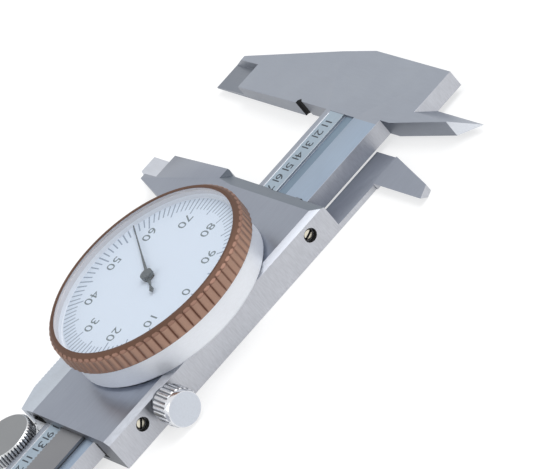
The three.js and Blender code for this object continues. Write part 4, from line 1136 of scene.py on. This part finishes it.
class CALIPER_OT_stage(bpy.types.Operator):
    """Pale floor, soft studio light and the camera"""

    bl_idname = "caliper.stage"
    bl_label = "Stage"

    def execute(self, context):
        context.scene.view_settings.view_transform = "Standard"
        self.lay_floor()
        self.light_studio(context.scene)
        self.set_camera(context.scene)
        return {"FINISHED"}

    def lay_floor(self):
        """A grey floor that looks white, so that soft shadows show on it and little light comes back."""
        wide, drop = 8, 0.05 * MM
        grey, glow_level = 0.4, 0.66
        deselect()
        bpy.ops.mesh.primitive_plane_add(size=wide, location=(0, 0, -drop))
        floor = bpy.context.object
        floor.name = "floor"
        material = bpy.data.materials.new("pale floor")
        material.use_nodes = True
        tree = material.node_tree
        tree.nodes.clear()
        out = tree.nodes.new("ShaderNodeOutputMaterial")
        matt = tree.nodes.new("ShaderNodeBsdfDiffuse")
        matt.inputs["Color"].default_value = (grey, grey, grey, 1)
        glow = tree.nodes.new("ShaderNodeEmission")
        glow.inputs["Color"].default_value = (1, 1, 1, 1)
        level = tree.nodes.new("ShaderNodeMath")
        level.operation = "MULTIPLY"
        level.inputs[1].default_value = glow_level
        both = tree.nodes.new("ShaderNodeAddShader")
        tree.links.new(seen(tree), level.inputs[0])
        tree.links.new(level.outputs[0], glow.inputs["Strength"])
        tree.links.new(matt.outputs[0], both.inputs[0])
        tree.links.new(glow.outputs[0], both.inputs[1])
        tree.links.new(both.outputs[0], out.inputs["Surface"])
        floor.data.materials.append(material)

    def light_studio(self, scene):
        """A soft cool dome that looks plain white, a key light and a fill light."""
        cool, white = (0.96, 0.98, 1.0, 1), (1, 1, 1, 1)
        world = bpy.data.worlds.new("studio")
        scene.world = world
        world.use_nodes = True
        tree = world.node_tree
        tree.nodes.clear()
        out = tree.nodes.new("ShaderNodeOutputWorld")
        mixed = tree.nodes.new("ShaderNodeMixShader")
        tree.links.new(seen(tree), mixed.inputs["Fac"])
        for socket, tint, strength in ((1, cool, 0.62), (2, white, 1.0)):
            dome = tree.nodes.new("ShaderNodeBackground")
            dome.inputs["Color"].default_value = tint
            dome.inputs["Strength"].default_value = strength
            tree.links.new(dome.outputs[0], mixed.inputs[socket])
        tree.links.new(mixed.outputs[0], out.inputs["Surface"])

        for name, place, size, power in (
            ("key light", (-0.5, 0.25, 0.7), 0.55, 3.4),
            ("fill light", (0.6, -0.3, 0.6), 0.6, 1.4),
        ):
            light = bpy.data.lights.new(name, "AREA")
            light.size = size
            light.energy = power
            lamp = bpy.data.objects.new(name, light)
            scene.collection.objects.link(lamp)
            lamp.location = place
            lamp.rotation_euler = (-Vector(place)).to_track_quat("-Z", "Y").to_euler()

    def set_camera(self, scene):
        lens = bpy.data.cameras.new("camera")
        camera = bpy.data.objects.new("camera", lens)
        scene.collection.objects.link(camera)
        camera.location = CAMERA_PLACE
        camera.rotation_euler = [math.radians(angle) for angle in CAMERA_TURN]
        lens.sensor_width = 36
        lens.lens = FOCAL_LENGTH
        lens.clip_start = 0.01
        lens.clip_end = 50
        scene.camera = camera


STEPS = (
    CALIPER_OT_beam,
    CALIPER_OT_scale,
    CALIPER_OT_slider,
    CALIPER_OT_screws,
    CALIPER_OT_lock_screw,
    CALIPER_OT_roller,
    CALIPER_OT_case,
    CALIPER_OT_bezel,
    CALIPER_OT_dial,
    CALIPER_OT_pointer,
    CALIPER_OT_fittings,
    CALIPER_OT_stage,
)


class CALIPER_PT_bench(bpy.types.Panel):
    """Lists the caliper's pieces in the order in which they are made"""

    bl_idname = "CALIPER_PT_bench"
    bl_label = "Dial caliper"
    bl_space_type = "VIEW_3D"
    bl_region_type = "UI"
    bl_category = "Caliper"

    def draw(self, context):
        column = self.layout.column()
        for step in STEPS:
            column.operator(step.bl_idname)


CLASSES = (CaliperSizes, CaliperColours, *STEPS, CALIPER_PT_bench)


def register():
    for kind in CLASSES:
        bpy.utils.register_class(kind)
    bpy.types.Scene.caliper_sizes = bpy.props.PointerProperty(type=CaliperSizes)
    bpy.types.Scene.caliper_colours = bpy.props.PointerProperty(type=CaliperColours)


def unregister():
    del bpy.types.Scene.caliper_colours
    del bpy.types.Scene.caliper_sizes
    for kind in reversed(CLASSES):
        bpy.utils.unregister_class(kind)


def main():
    register()
    bpy.ops.caliper.beam()
    bpy.ops.caliper.scale()
    bpy.ops.caliper.slider()
    bpy.ops.caliper.screws()
    bpy.ops.caliper.lock_screw()
    bpy.ops.caliper.roller()
    bpy.ops.caliper.case()
    bpy.ops.caliper.bezel()
    bpy.ops.caliper.dial()
    bpy.ops.caliper.pointer()
    bpy.ops.caliper.fittings()
    bpy.ops.caliper.stage()


if __name__ == "__main__":
    main()
